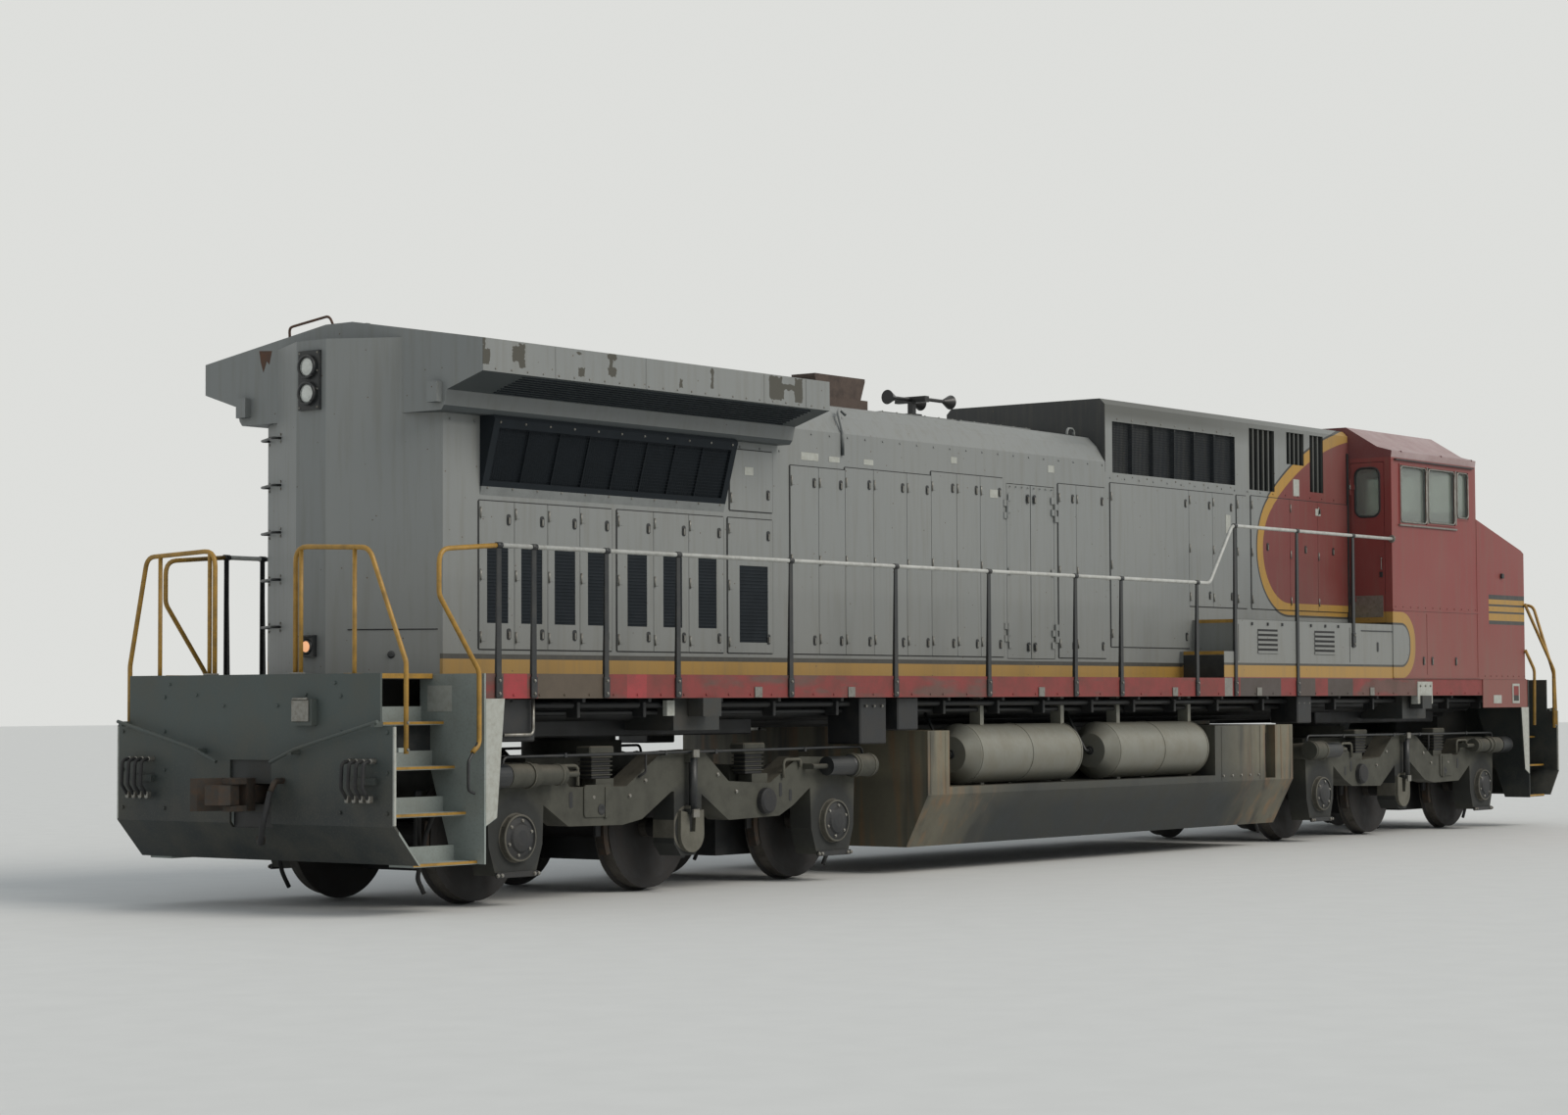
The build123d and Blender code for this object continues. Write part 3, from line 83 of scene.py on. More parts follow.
def linear(code, alpha=1.0):
    """The scene-linear colour of an sRGB hex code."""
    shares = [int(code[place:place + 2], 16) / 255 for place in (1, 3, 5)]
    return tuple(s / 12.92 if s <= 0.04045 else ((s + 0.055) / 1.055) ** 2.4 for s in shares) + (alpha,)


class LocoColours(bpy.types.PropertyGroup):
    """The colours that a painter would be told."""
    hood_grey: FloatVectorProperty(
        name="Hood grey", description="Silver-grey enamel of the long hood", subtype="COLOR", size=3,
        min=0, max=1, default=linear("#7f8280")[:3])
    cab_red: FloatVectorProperty(
        name="Cab red", description="Faded red enamel of the cab and the curve behind it", subtype="COLOR",
        size=3, min=0, max=1, default=linear("#7f3431")[:3])
    stripe_yellow: FloatVectorProperty(
        name="Stripe yellow", description="Yellow enamel of the stripes and end rails", subtype="COLOR",
        size=3, min=0, max=1, default=linear("#a98134")[:3])
    line_black: FloatVectorProperty(
        name="Line black", description="Black enamel beside the yellow stripes", subtype="COLOR", size=3,
        min=0, max=1, default=linear("#26292b")[:3])
    step_green: FloatVectorProperty(
        name="Step green-grey", description="Dark green-grey enamel of steps and pilots", subtype="COLOR",
        size=3, min=0, max=1, default=linear("#47504d")[:3])
    dust_tan: FloatVectorProperty(
        name="Dust tan", description="Road and brake dust", subtype="COLOR", size=3, min=0, max=1,
        default=linear("#6d6553")[:3])


class LocoSizes(bpy.types.PropertyGroup):
    """The sizes of the fine parts that a user would change."""
    rail_radius: FloatProperty(
        name="Handrail radius", description="Outer radius of the side handrail's tube", unit="LENGTH",
        default=0.019, min=0.008, max=0.04)
    end_rail_radius: FloatProperty(
        name="End rail radius", description="Outer radius of the bent rails at both ends", unit="LENGTH",
        default=0.019, min=0.008, max=0.04)
    rung_radius: FloatProperty(
        name="Grab iron radius", description="Radius of the bar of a grab iron", unit="LENGTH",
        default=0.011, min=0.005, max=0.02)
    mesh_pitch: FloatProperty(
        name="Mesh pitch", description="Spacing of the wires in the hood's screens", unit="LENGTH",
        default=0.026, min=0.01, max=0.1)
    bend_radius: FloatProperty(
        name="Bend radius", description="Inner bend of a handrail's corner", unit="LENGTH", default=0.12,
        min=0.02, max=0.4)


def painted(name):
    """One of the user's colours, with full opacity."""
    return tuple(getattr(bpy.context.scene.loco_colours, name)) + (1.0,)


# Material nodes
def add(tree, kind, inputs=None, **settings):
    """Add a node with its settings, its sockets linked or set by name or by place."""
    node = tree.nodes.new("ShaderNode" + kind)
    for name, value in settings.items():
        setattr(node, name, value)
    live = [socket for socket in node.inputs if socket.enabled]
    for key, value in (inputs or {}).items():
        socket = live[key] if isinstance(key, int) else next(s for s in live if s.name == key)
        if isinstance(value, bpy.types.Node):
            value = next(s for s in value.outputs if s.enabled)
        if isinstance(value, bpy.types.NodeSocket):
            tree.links.new(value, socket)
        else:
            socket.default_value = value
    return node


def join(tree, node, inputs):
    """Link nodes or sockets to a node that is there already."""
    for name, value in inputs.items():
        if isinstance(value, bpy.types.Node):
            value = next(s for s in value.outputs if s.enabled)
        tree.links.new(value, node.inputs[name])


def layered(tree, ground, layers):
    """Paint layers of (mask, colour) over a ground colour, in order."""
    for mask, colour in layers:
        ground = add(tree, "Mix", {"Factor": mask, "A": ground, "B": colour}, data_type="RGBA")
    return ground


# Metres past every limit that a mask names, for its open end
FAR = 100.0


def where(tree, *spans):
    """A mask that is 1 where each value lies between its two limits, and 0 elsewhere."""
    mask = None
    for value, low, high in spans:
        span = add(tree, "Math", {0: value, 1: (low + high) / 2, 2: (high - low) / 2}, operation="COMPARE")
        mask = add(tree, "Math", {0: mask, 1: span}, operation="MULTIPLY") if mask else span
    return mask


def worn(tree, shader, colour, dirt, patch_mm, grain_mm, roughness, amount=0.5, relief_mm=0.6):
    """Cloudy dirt, fine grain, uneven gloss and a little relief over a colour."""
    here = add(tree, "TexCoord").outputs["Object"]
    cloud = add(tree, "TexNoise", {"Vector": here, "Scale": 1000 / patch_mm, "Detail": 6.0,
                                   "Roughness": 0.62})
    grain = add(tree, "TexNoise", {"Vector": here, "Scale": 1000 / grain_mm, "Detail": 3.0})
    patches = add(tree, "MapRange", {"Value": cloud, "From Min": 0.42, "From Max": 0.7, "To Max": amount})
    specks = add(tree, "MapRange", {"Value": grain, "From Min": 0.5, "From Max": 0.75,
                                    "To Max": amount * 0.6})
    shade = layered(tree, colour, [(patches, linear(dirt)), (specks, linear(dirt))])
    gloss = add(tree, "MapRange", {"Value": cloud, "From Min": 0.3, "From Max": 0.7,
                                   "To Min": roughness - 0.07, "To Max": roughness + 0.12})
    relief = add(tree, "Bump", {"Strength": 0.5, "Distance": relief_mm / 1000, "Height": grain})
    join(tree, shader, {"Base Color": shade, "Roughness": gloss, "Normal": relief})


def circle_through(first, second, third):
    """The centre (x, z) and radius of the circle through three points."""
    (ax, ay), (bx, by), (cx, cy) = first, second, third
    cross = 2 * (ax * (by - cy) + bx * (cy - ay) + cx * (ay - by))
    squares = [ax * ax + ay * ay, bx * bx + by * by, cx * cx + cy * cy]
    x = (squares[0] * (by - cy) + squares[1] * (cy - ay) + squares[2] * (ay - by)) / cross
    y = (squares[0] * (cx - bx) + squares[1] * (ax - cx) + squares[2] * (bx - ax)) / cross
    return (x, y), math.hypot(ax - x, ay - y)


# The painted curve on the hood: a small circle behind, a large arc up to the cab's roof,
# and a level foot; all in metres along the locomotive and above the rail
SMALL_CENTRE = (4.37, 3.23)
SMALL_RADIUS = 0.75
LARGE_POINTS = ((3.909, 3.831), (4.685, 4.325), (5.413, 4.601))
LEVEL_FOOT = 2.48
LINE_WIDTH = 0.025
STRIPE_WIDTH = 0.13
# The grey panel with a round front corner on the walkway cabinets and the cab's side
PANEL_FRONT = 6.24
PANEL_SPAN = (1.95, 2.41)
PANEL_CORNER = 0.2
PANEL_STRIPE = 0.15
CABINET_FROM = 1.02
CABINET_REAR = 1.9
LOW_LINE = 1.95
LOW_STRIPE = 1.91
# The stripes round the nose: from, to, above the rail; black over yellow
NOSE_STRIPES_FROM = 8.37
NOSE_STRIPES = (2.458, 2.817)
NOSE_LINES = ((2.761, 2.817), (2.678, 2.702), (2.591, 2.615), (2.458, 2.504))
# Painted shade in the recesses behind the grids' bars and screens, the housing's rear face painted dark
# and the grey inside of the cab: outermost place across, foot and head, rear and front, colour
DEEP_PLACES = (
    (HOOD_HALF - 0.006, (3.86, 4.565), (3.5, 5.23), "#4b4d4a"),
    (HOOD_HALF - 0.03, (3.8, 4.58), (GRID_REAR + 0.05, 5.3), "#1d2226"),
    (HOOD_HALF - 0.006, (3.895, 4.435), (0.645, 3.195), "#23282c"),
    (FAR, (3.9, FAR), (GRID_REAR - 0.004, GRID_REAR + 0.004), "#25282a"),
    (CAB_HALF - 0.012, (2.38, FAR), (CAB_REAR + 0.012, 8.03), "#7f8782"))


def livery(tree):
    """Places along, across and above the rail, and the painted colour at every place on the body."""
    here = add(tree, "TexCoord").outputs["Object"]
    split = add(tree, "SeparateXYZ", {0: here})
    along = split.outputs[0]
    across = add(tree, "Math", {0: split.outputs[1]}, operation="ABSOLUTE")
    height = add(tree, "Math", {0: split.outputs[2], 1: RAIL}, operation="SUBTRACT")
    spot = add(tree, "CombineXYZ", {0: along, 1: height})
    grey, red, yellow, black = map(painted, ("hood_grey", "cab_red", "stripe_yellow", "line_black"))
    # Painted shade: the hood's red is darkened against the cab's
    shaded_hood_red = layered(tree, red, [(0.32, linear("#3b2522"))])

    # How far a place lies outside the curve: the small circle, the level foot ahead of it, the large arc
    arcs = []
    for centre, radius in ((SMALL_CENTRE, SMALL_RADIUS), circle_through(*LARGE_POINTS)):
        reach = add(tree, "VectorMath", {0: spot, 1: (*centre, 0)}, operation="DISTANCE")
        arcs.append(add(tree, "Math", {0: reach, 1: radius}, operation="SUBTRACT"))
    foot = add(tree, "Math", {0: LEVEL_FOOT, 1: height}, operation="SUBTRACT")
    ahead = where(tree, (along, SMALL_CENTRE[0], FAR))
    edge = add(tree, "Mix", {"Factor": ahead, "A": arcs[0], "B": foot}, data_type="FLOAT")
    way = (LARGE_POINTS[0][0] - SMALL_CENTRE[0], LARGE_POINTS[0][1] - SMALL_CENTRE[1])
    square = add(tree, "VectorMath", {0: spot, 1: (-way[1], way[0], 0)}, operation="DOT_PRODUCT")
    level = -way[1] * SMALL_CENTRE[0] + way[0] * SMALL_CENTRE[1]
    upper = where(tree, (square, -FAR, level), (height, SMALL_CENTRE[1], FAR))
    edge = add(tree, "Mix", {"Factor": upper, "A": edge, "B": arcs[1]}, data_type="FLOAT")
    beside = (across, HOOD_HALF - 0.02, FAR)
    inner = layered(tree, grey, [(where(tree, (edge, -FAR, 0.0)), black),
                                 (where(tree, (edge, -FAR, -LINE_WIDTH)), yellow),
                                 (where(tree, (edge, -FAR, -LINE_WIDTH - STRIPE_WIDTH)), shaded_hood_red),
                                 (where(tree, (height, -FAR, LOW_LINE), beside), black),
                                 (where(tree, (height, -FAR, LOW_STRIPE), beside), yellow)])

    # How far a place lies outside the panel with the round corner
    half_height = (PANEL_SPAN[1] - PANEL_SPAN[0]) / 2
    reach_along = add(tree, "Math", {0: along, 1: PANEL_FRONT - PANEL_CORNER}, operation="SUBTRACT")
    reach_up = add(tree, "Math", {0: height, 1: sum(PANEL_SPAN) / 2}, operation="SUBTRACT")
    reach_up = add(tree, "Math", {0: reach_up}, operation="ABSOLUTE")
    reach_up = add(tree, "Math", {0: reach_up, 1: half_height - PANEL_CORNER}, operation="SUBTRACT")
    corner = add(tree, "CombineXYZ", {place: add(tree, "Math", {0: reach, 1: 0.0}, operation="MAXIMUM")
                                      for place, reach in enumerate((reach_along, reach_up))})
    outside = add(tree, "VectorMath", {0: corner}, operation="LENGTH")
    inside = add(tree, "Math", {0: reach_along, 1: reach_up}, operation="MAXIMUM")
    inside = add(tree, "Math", {0: inside, 1: 0.0}, operation="MINIMUM")
    panel = add(tree, "Math", {0: outside, 1: inside}, operation="ADD")
    panel = add(tree, "Math", {0: panel, 1: PANEL_CORNER}, operation="SUBTRACT")
    outer = layered(tree, red, [(where(tree, (panel, -FAR, limit)), colour) for limit, colour in (
        (PANEL_STRIPE, yellow), (LINE_WIDTH, black), (0.0, grey))])
    on_nose = (along, NOSE_STRIPES_FROM, FAR)
    stripes = [(where(tree, on_nose, (height, *NOSE_STRIPES)), yellow)]
    stripes += [(where(tree, on_nose, (height, *line)), black) for line in NOSE_LINES]
    colour = layered(tree, inner, [(where(tree, (across, CABINET_FROM, FAR), (along, CABINET_REAR, FAR)),
                                    outer), (where(tree, (along, CAB_REAR - 0.01, FAR), (height, 2.7, FAR)),
                                             red), (where(tree, (along, PANEL_FRONT + 0.2, FAR)), red),
                                   *stripes])
    # Painted shade in the recesses, the dark rear face and the grey inside of the cab
    for reach, tall, run, code in DEEP_PLACES:
        deep = where(tree, (across, -FAR, reach), (height, *tall), (along, *run))
        colour = layered(tree, colour, [(deep, linear(code))])
    return here, along, across, height, colour


# Bare patches on the wings' fascia: rear, front, foot, head, above the rail
WING_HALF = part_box("radiator_wings")[1][1]
BARE_PATCHES = (
    (-9.393, -9.367, 4.156, 4.364), (-9.372, -9.314, 4.161, 4.274), (-9.057, -8.983, 4.206, 4.32),
    (-8.983, -8.915, 4.156, 4.354), (-8.303, -8.246, 4.321, 4.348), (-8.289, -8.213, 4.147, 4.217),
    (-7.936, -7.828, 4.312, 4.36), (-7.916, -7.872, 4.235, 4.315), (-7.936, -7.829, 4.178, 4.246),
    (-7.035, -6.989, 4.146, 4.221), (-6.624, -6.583, 4.177, 4.343), (-5.83, -5.657, 4.145, 4.346),
    (-5.475, -5.363, 4.152, 4.354), (-5.66, -5.47, 4.24, 4.285), (-5.66, -5.62, 4.157, 4.25))


def alkyd_body_enamel(tree, shader):
    """Brushed-on alkyd enamel over sheet steel: faded, rain-streaked and tan with road dust."""
    here, along, across, height, colour = livery(tree)
    # Rain draws the dirt into upright streaks about 60 mm apart and over half a metre long
    drawn = add(tree, "Mapping", {"Vector": here, "Scale": (16.0, 16.0, 1.1)})
    streaks = add(tree, "TexNoise", {"Vector": drawn, "Scale": 1.0, "Detail": 4.0, "Roughness": 0.6})
    streaked = add(tree, "MapRange", {"Value": streaks, "From Min": 0.48, "From Max": 0.78, "To Max": 0.3})
    # Dust thrown up by the wheels lies thickest on the lowest half metre of the panels
    low = add(tree, "MapRange", {"Value": height, "From Min": 1.75, "From Max": 2.9, "To Min": 0.22,
                                 "To Max": 0.03})
    fade = add(tree, "TexNoise", {"Vector": here, "Scale": 0.7, "Detail": 5.0})
    faded = add(tree, "MapRange", {"Value": fade, "From Min": 0.4, "From Max": 0.65, "To Max": 0.1})
    # Stone chips are 3 mm in life and 12 mm here, so that they show
    chips = add(tree, "TexVoronoi", {"Vector": here, "Scale": 1000 / 130}, feature="F1")
    chipped = add(tree, "Math", {0: chips.outputs["Distance"], 1: 0.05}, operation="LESS_THAN")
    # Paint has come off the wings' fascia down to dark primer, with ragged edges
    ragged = add(tree, "TexNoise", {"Vector": here, "Scale": 26.0, "Detail": 3.0})
    nudge = add(tree, "Math", {0: ragged, 1: 0.06, 2: -0.03}, operation="MULTIPLY_ADD")
    nudged, level = (add(tree, "Math", {0: place, 1: nudge}, operation="ADD") for place in (along, height))
    peeled = 0.0
    for rear, front, foot, head in BARE_PATCHES:
        spot = where(tree, (level, foot, head), (nudged, rear, front))
        peeled = add(tree, "Math", {0: spot, 1: peeled}, operation="MAXIMUM")
    outermost = where(tree, (across, WING_HALF - 0.004, FAR))
    peeled = add(tree, "Math", {0: peeled, 1: outermost}, operation="MULTIPLY")
    # Faces that look down are darkened, partly with soot and partly as painted shade;
    # soot also clings to the tall housing's head above the grids
    facing = add(tree, "SeparateXYZ", {0: add(tree, "NewGeometry").outputs["Normal"]})
    under = add(tree, "MapRange", {"Value": facing.outputs[2], "From Min": -0.1, "From Max": -0.5,
                                   "To Max": 0.9})
    heat = add(tree, "MapRange", {"Value": height, "From Min": 4.34, "From Max": 4.52, "To Max": 0.8})
    over_grids = add(tree, "MapRange", {"Value": along, "From Min": 5.6, "From Max": 2.4, "To Min": 0.1})
    sooty = where(tree, (along, GRID_REAR, FAR))
    for share in (over_grids, heat):
        sooty = add(tree, "Math", {0: sooty, 1: share}, operation="MULTIPLY")
    shade = layered(tree, colour, [(faded, linear("#9c9b94")), (low, painted("dust_tan")),
                                   (streaked, linear("#666152")), (chipped, linear("#57493c")),
                                   (sooty, linear("#4a4b45")), (under, linear("#363d3f")),
                                   (peeled, linear("#45433a"))])
    gloss = add(tree, "MapRange", {"Value": fade, "From Min": 0.3, "From Max": 0.7, "To Min": 0.42,
                                   "To Max": 0.6})
    # Sheet panels pull in by a millimetre or two between their stiffeners, half a metre apart
    dents = add(tree, "TexNoise", {"Vector": here, "Scale": 2.2, "Detail": 1.0})
    relief = add(tree, "Bump", {"Strength": 0.35, "Distance": 0.012, "Height": dents})
    join(tree, shader, {"Base Color": shade, "Roughness": gloss, "Normal": relief})


def chalked_roof_enamel(tree, shader):
    """Red oxide enamel that the sun has chalked to a pale pink, with painted shade on its rear faces."""
    facing = add(tree, "SeparateXYZ", {0: add(tree, "NewGeometry").outputs["Normal"]})
    # Painted shade: faces that look rearward are dark red
    shaded_gable = add(tree, "Math", {0: facing.outputs[0], 1: -0.7}, operation="LESS_THAN")
    colour = layered(tree, linear("#a99694"), [(shaded_gable, linear("#6b3534"))])
    worn(tree, shader, colour, "#7d5a57", 700, 18, 0.62, 0.45)


# Places on the sill that were touched up in fresh red, or lost to grease: rear, front, colour
SILL_PATCHES = (
    (-9.114, -8.846, "#9a3438"), (-8.722, -7.931, "#554a3d"), (-7.655, -7.41, "#98393b"),
    (1.975, 2.14, "#82807a"), (2.305, 3.189, "#4a423e"), (3.539, 3.967, "#4d443f"),
    (4.256, 4.848, "#483f3b"))


def dusty_sill_enamel(tree, shader):
    """Red enamel on the sill, half hidden by grease, soot and dust; the deck on top is black."""
    here = add(tree, "TexCoord").outputs["Object"]
    split = add(tree, "SeparateXYZ", {0: here})
    across = add(tree, "Math", {0: split.outputs[1]}, operation="ABSOLUTE")
    face = ((split.outputs[2], RAIL + 1.598, RAIL + 1.789), (across, DECK_HALF - 0.004, FAR))
    on_band = where(tree, *face)
    drawn = add(tree, "Mapping", {"Vector": here, "Scale": (0.55, 1.0, 2.2)})
    stain = add(tree, "TexNoise", {"Vector": drawn, "Scale": 1.0, "Detail": 5.0, "Roughness": 0.6})
    grey_stain = add(tree, "MapRange", {"Value": stain, "From Min": 0.53, "From Max": 0.6, "To Max": 0.75})
    stained = add(tree, "Math", {0: grey_stain, 1: on_band}, operation="MULTIPLY")
    layers = [(on_band, painted("cab_red")), (stained, linear("#564a42"))]
    layers += [(where(tree, (split.outputs[0], rear, front), *face), linear(code)) for rear, front,
               code in SILL_PATCHES]
    worn(tree, shader, layered(tree, linear("#2d302f"), layers), "#443e35", 260, 14, 0.62, 0.45)


def worn_step_enamel(tree, shader):
    """Dark green-grey enamel rubbed by boots: painted shade low and in front, painted light behind."""
    place = add(tree, "SeparateXYZ", {0: add(tree, "TexCoord").outputs["Object"]})
    facing = add(tree, "SeparateXYZ", {0: add(tree, "NewGeometry").outputs["Normal"]})
    # Painted light: faces of the rear half that do not look down are brightened, though they stand in shade
    painted_light_rear = where(tree, (place.outputs[0], 0.05 - END_PLATE, 0.0), (facing.outputs[2], -0.2, FAR))
    # Painted shade: darker towards the bottom
    low = add(tree, "MapRange", {"Value": place.outputs[2], "From Min": RAIL + 1.45, "From Max": RAIL + 0.75,
                                 "To Max": 0.9})
    # Painted shade over the front half
    ahead = where(tree, (place.outputs[0], 0.0, FAR))
    shaded = add(tree, "Math", {0: ahead, 1: 0.55}, operation="MULTIPLY")
    colour = layered(tree, painted("step_green"), [(low, linear("#1e2323")), (shaded, linear("#262b2b")),
                                                   (painted_light_rear, linear("#8f9792"))])
    worn(tree, shader, colour, "#5f5b4f", 420, 16, 0.55, 0.4)


def fuel_stained_enamel(tree, shader):
    """Dark enamel on the tank's plate: tan dust over all of it, wet-looking where fuel ran."""
    here = add(tree, "TexCoord").outputs["Object"]
    drawn = add(tree, "Mapping", {"Vector": here, "Scale": (3.2, 3.2, 0.4)})
    runs = add(tree, "TexNoise", {"Vector": drawn, "Scale": 1.0, "Detail": 4.0})
    wet = add(tree, "MapRange", {"Value": runs, "From Min": 0.5, "From Max": 0.62, "To Max": 0.7})
    split = add(tree, "SeparateXYZ", {0: here})
    # Paler above, darker towards the bottom
    lean = add(tree, "MapRange", {"Value": split.outputs[2], "From Min": 0.55, "From Max": 0.95})
    # Splashed dust dries palest on the blocks at both ends; the long side stays dark
    outer = add(tree, "Math", {0: split.outputs[0], 1: 0.105}, operation="SUBTRACT")
    outer = add(tree, "Math", {0: outer}, operation="ABSOLUTE")
    block = add(tree, "MapRange", {"Value": outer, "From Min": 1.9, "From Max": 2.8, "To Min": 0.25,
                                   "To Max": 1.0})
    pale = add(tree, "Math", {0: lean, 1: block}, operation="MULTIPLY")
    splashed = add(tree, "MapRange", {"Value": outer, "From Min": 2.2, "From Max": 3.1, "To Max": 0.72})
    pale = add(tree, "Math", {0: pale, 1: splashed}, operation="MAXIMUM")
    narrow = add(tree, "Mapping", {"Vector": here, "Scale": (9.0, 9.0, 0.7)})
    runs_brown = add(tree, "TexNoise", {"Vector": narrow, "Scale": 1.0, "Detail": 3.0})
    brown = add(tree, "MapRange", {"Value": runs_brown, "From Min": 0.5, "From Max": 0.66})
    brown = add(tree, "Math", {0: brown, 1: splashed}, operation="MULTIPLY")
    dust = layered(tree, linear("#202627"), [(pale, linear("#706b59")), (wet, linear("#212424")),
                                             (brown, linear("#7d6244"))])
    worn(tree, shader, dust, "#49463a", 300, 16, 0.5, 0.28)


def silver_tank_enamel(tree, shader):
    """Aluminium paint on the pressed steel reservoirs, darker towards the bottom."""
    split = add(tree, "SeparateXYZ", {0: add(tree, "TexCoord").outputs["Object"]})
    under = add(tree, "MapRange", {"Value": split.outputs[2], "From Min": RAIL + 0.78,
                                   "From Max": RAIL + 1.2, "To Min": 0.5, "To Max": 0.0})
    colour = layered(tree, linear("#85857b"), [(under, linear("#4b4941"))])
    worn(tree, shader, colour, "#6f6857", 240, 14, 0.5, 0.45)
    shader.inputs["Metallic"].default_value = 0.25


def dusty_cast_steel(tree, shader):
    """Rough sand-cast steel, tan with brake dust; oil and painted shade darken it round the axles."""
    here = add(tree, "TexCoord").outputs["Object"]
    flat = add(tree, "VectorMath", {0: here, 1: (1, 0, 1)}, operation="MULTIPLY")
    nearest = 10.0
    for x in AXLES:
        reach = add(tree, "VectorMath", {0: flat, 1: (x, 0, AXLE_HEIGHT)}, operation="DISTANCE")
        nearest = add(tree, "Math", {0: reach, 1: nearest}, operation="MINIMUM")
    # Painted shade and oil: dark round the axles
    oil_and_shade = add(tree, "MapRange", {"Value": nearest, "From Min": 0.3, "From Max": 0.4, "To Min": 0.9,
                                  "To Max": 0.0})
    cap_rim = where(tree, (nearest, 0.171, 0.195))
    facing = add(tree, "SeparateXYZ", {0: add(tree, "NewGeometry").outputs["Normal"]})
    lying = add(tree, "MapRange", {"Value": facing.outputs[2], "From Min": 0.1, "From Max": 0.7,
                                   "To Max": 0.75})
    colour = layered(tree, linear("#45453c"), [(lying, linear("#5b564a")), (oil_and_shade, linear("#1f2222")),
                                               (cap_rim, linear("#5f5c52"))])
    worn(tree, shader, colour, "#2c2c28", 190, 9, 0.75, 0.5, 1.6)


def rolled_wheel_steel(tree, shader):
    """Forged steel: brown rust on plate and axle, dark with dirt and painted shade; bright ground tread."""
    across = []
    for name in ("Object", "Normal"):
        split = add(tree, "SeparateXYZ", {0: add(tree, "TexCoord").outputs[name]})
        across.append(add(tree, "Math", {0: split.outputs[1]}, operation="ABSOLUTE"))
    tread = where(tree, (across[1], -FAR, 0.35), (across[0], 0.67, 0.85))
    # The near-black ground is partly dirt and partly painted shade
    colour = layered(tree, linear("#1c1b1b"), [(tread, linear("#6d6a65"))])
    worn(tree, shader, colour, "#2f2924", 120, 9, 0.68, 0.45, 0.8)
    join(tree, shader, {"Metallic": tread})


def woven_wire_mesh(tree, shader):
    """Galvanised wire cloth painted dark blue-black: wires 3 mm thick and 26 mm apart."""
    # The same dark finish fills the hood's vents as painted shade
    place = add(tree, "SeparateXYZ", {0: add(tree, "TexCoord").outputs["Object"]})
    foot_strip = where(tree, (place.outputs[2], RAIL + 3.198, RAIL + 3.274))
    colour = layered(tree, linear("#1a2025"), [(foot_strip, painted("hood_grey"))])
    worn(tree, shader, colour, "#2a2c2b", 160, 10, 0.75, 0.18, 0.4)
    shader.inputs["Specular IOR Level"].default_value = 0.2


def woven_seat_cloth(tree, shader):
    """Coarse black upholstery cloth with a soft sheen; its 2 mm threads are drawn at 6 mm."""
    here = add(tree, "TexCoord").outputs["Object"]
    weave = add(tree, "TexWave", {"Vector": here, "Scale": 1000 / 6 / 6.28, "Distortion": 1.0})
    worn(tree, shader, linear("#33343a"), "#55534e", 120, 6, 0.8, 0.3, 0.5)
    relief = add(tree, "Bump", {"Strength": 0.6, "Distance": 0.001, "Height": weave.outputs[1]})
    join(tree, shader, {"Normal": relief})
    shader.inputs["Sheen Weight"].default_value = 0.3


def studio_floor_paint(tree, shader):
    """The floor's pale matt paint, which keeps the shadow."""
    speck = add(tree, "TexNoise", {"Vector": add(tree, "TexCoord").outputs["Object"], "Scale": 3.0,
                                   "Detail": 2.0})
    join(tree, shader, {"Base Color": layered(tree, linear("#d4d4d0"), [(speck, linear("#dcdcd8"))])})
    shader.inputs["Roughness"].default_value = 0.8


MIXED_FINISHES = {finish.__name__: finish for finish in (
    alkyd_body_enamel, chalked_roof_enamel, dusty_sill_enamel, worn_step_enamel, fuel_stained_enamel,
    silver_tank_enamel, dusty_cast_steel, rolled_wheel_steel, woven_wire_mesh, woven_seat_cloth,
    studio_floor_paint)}

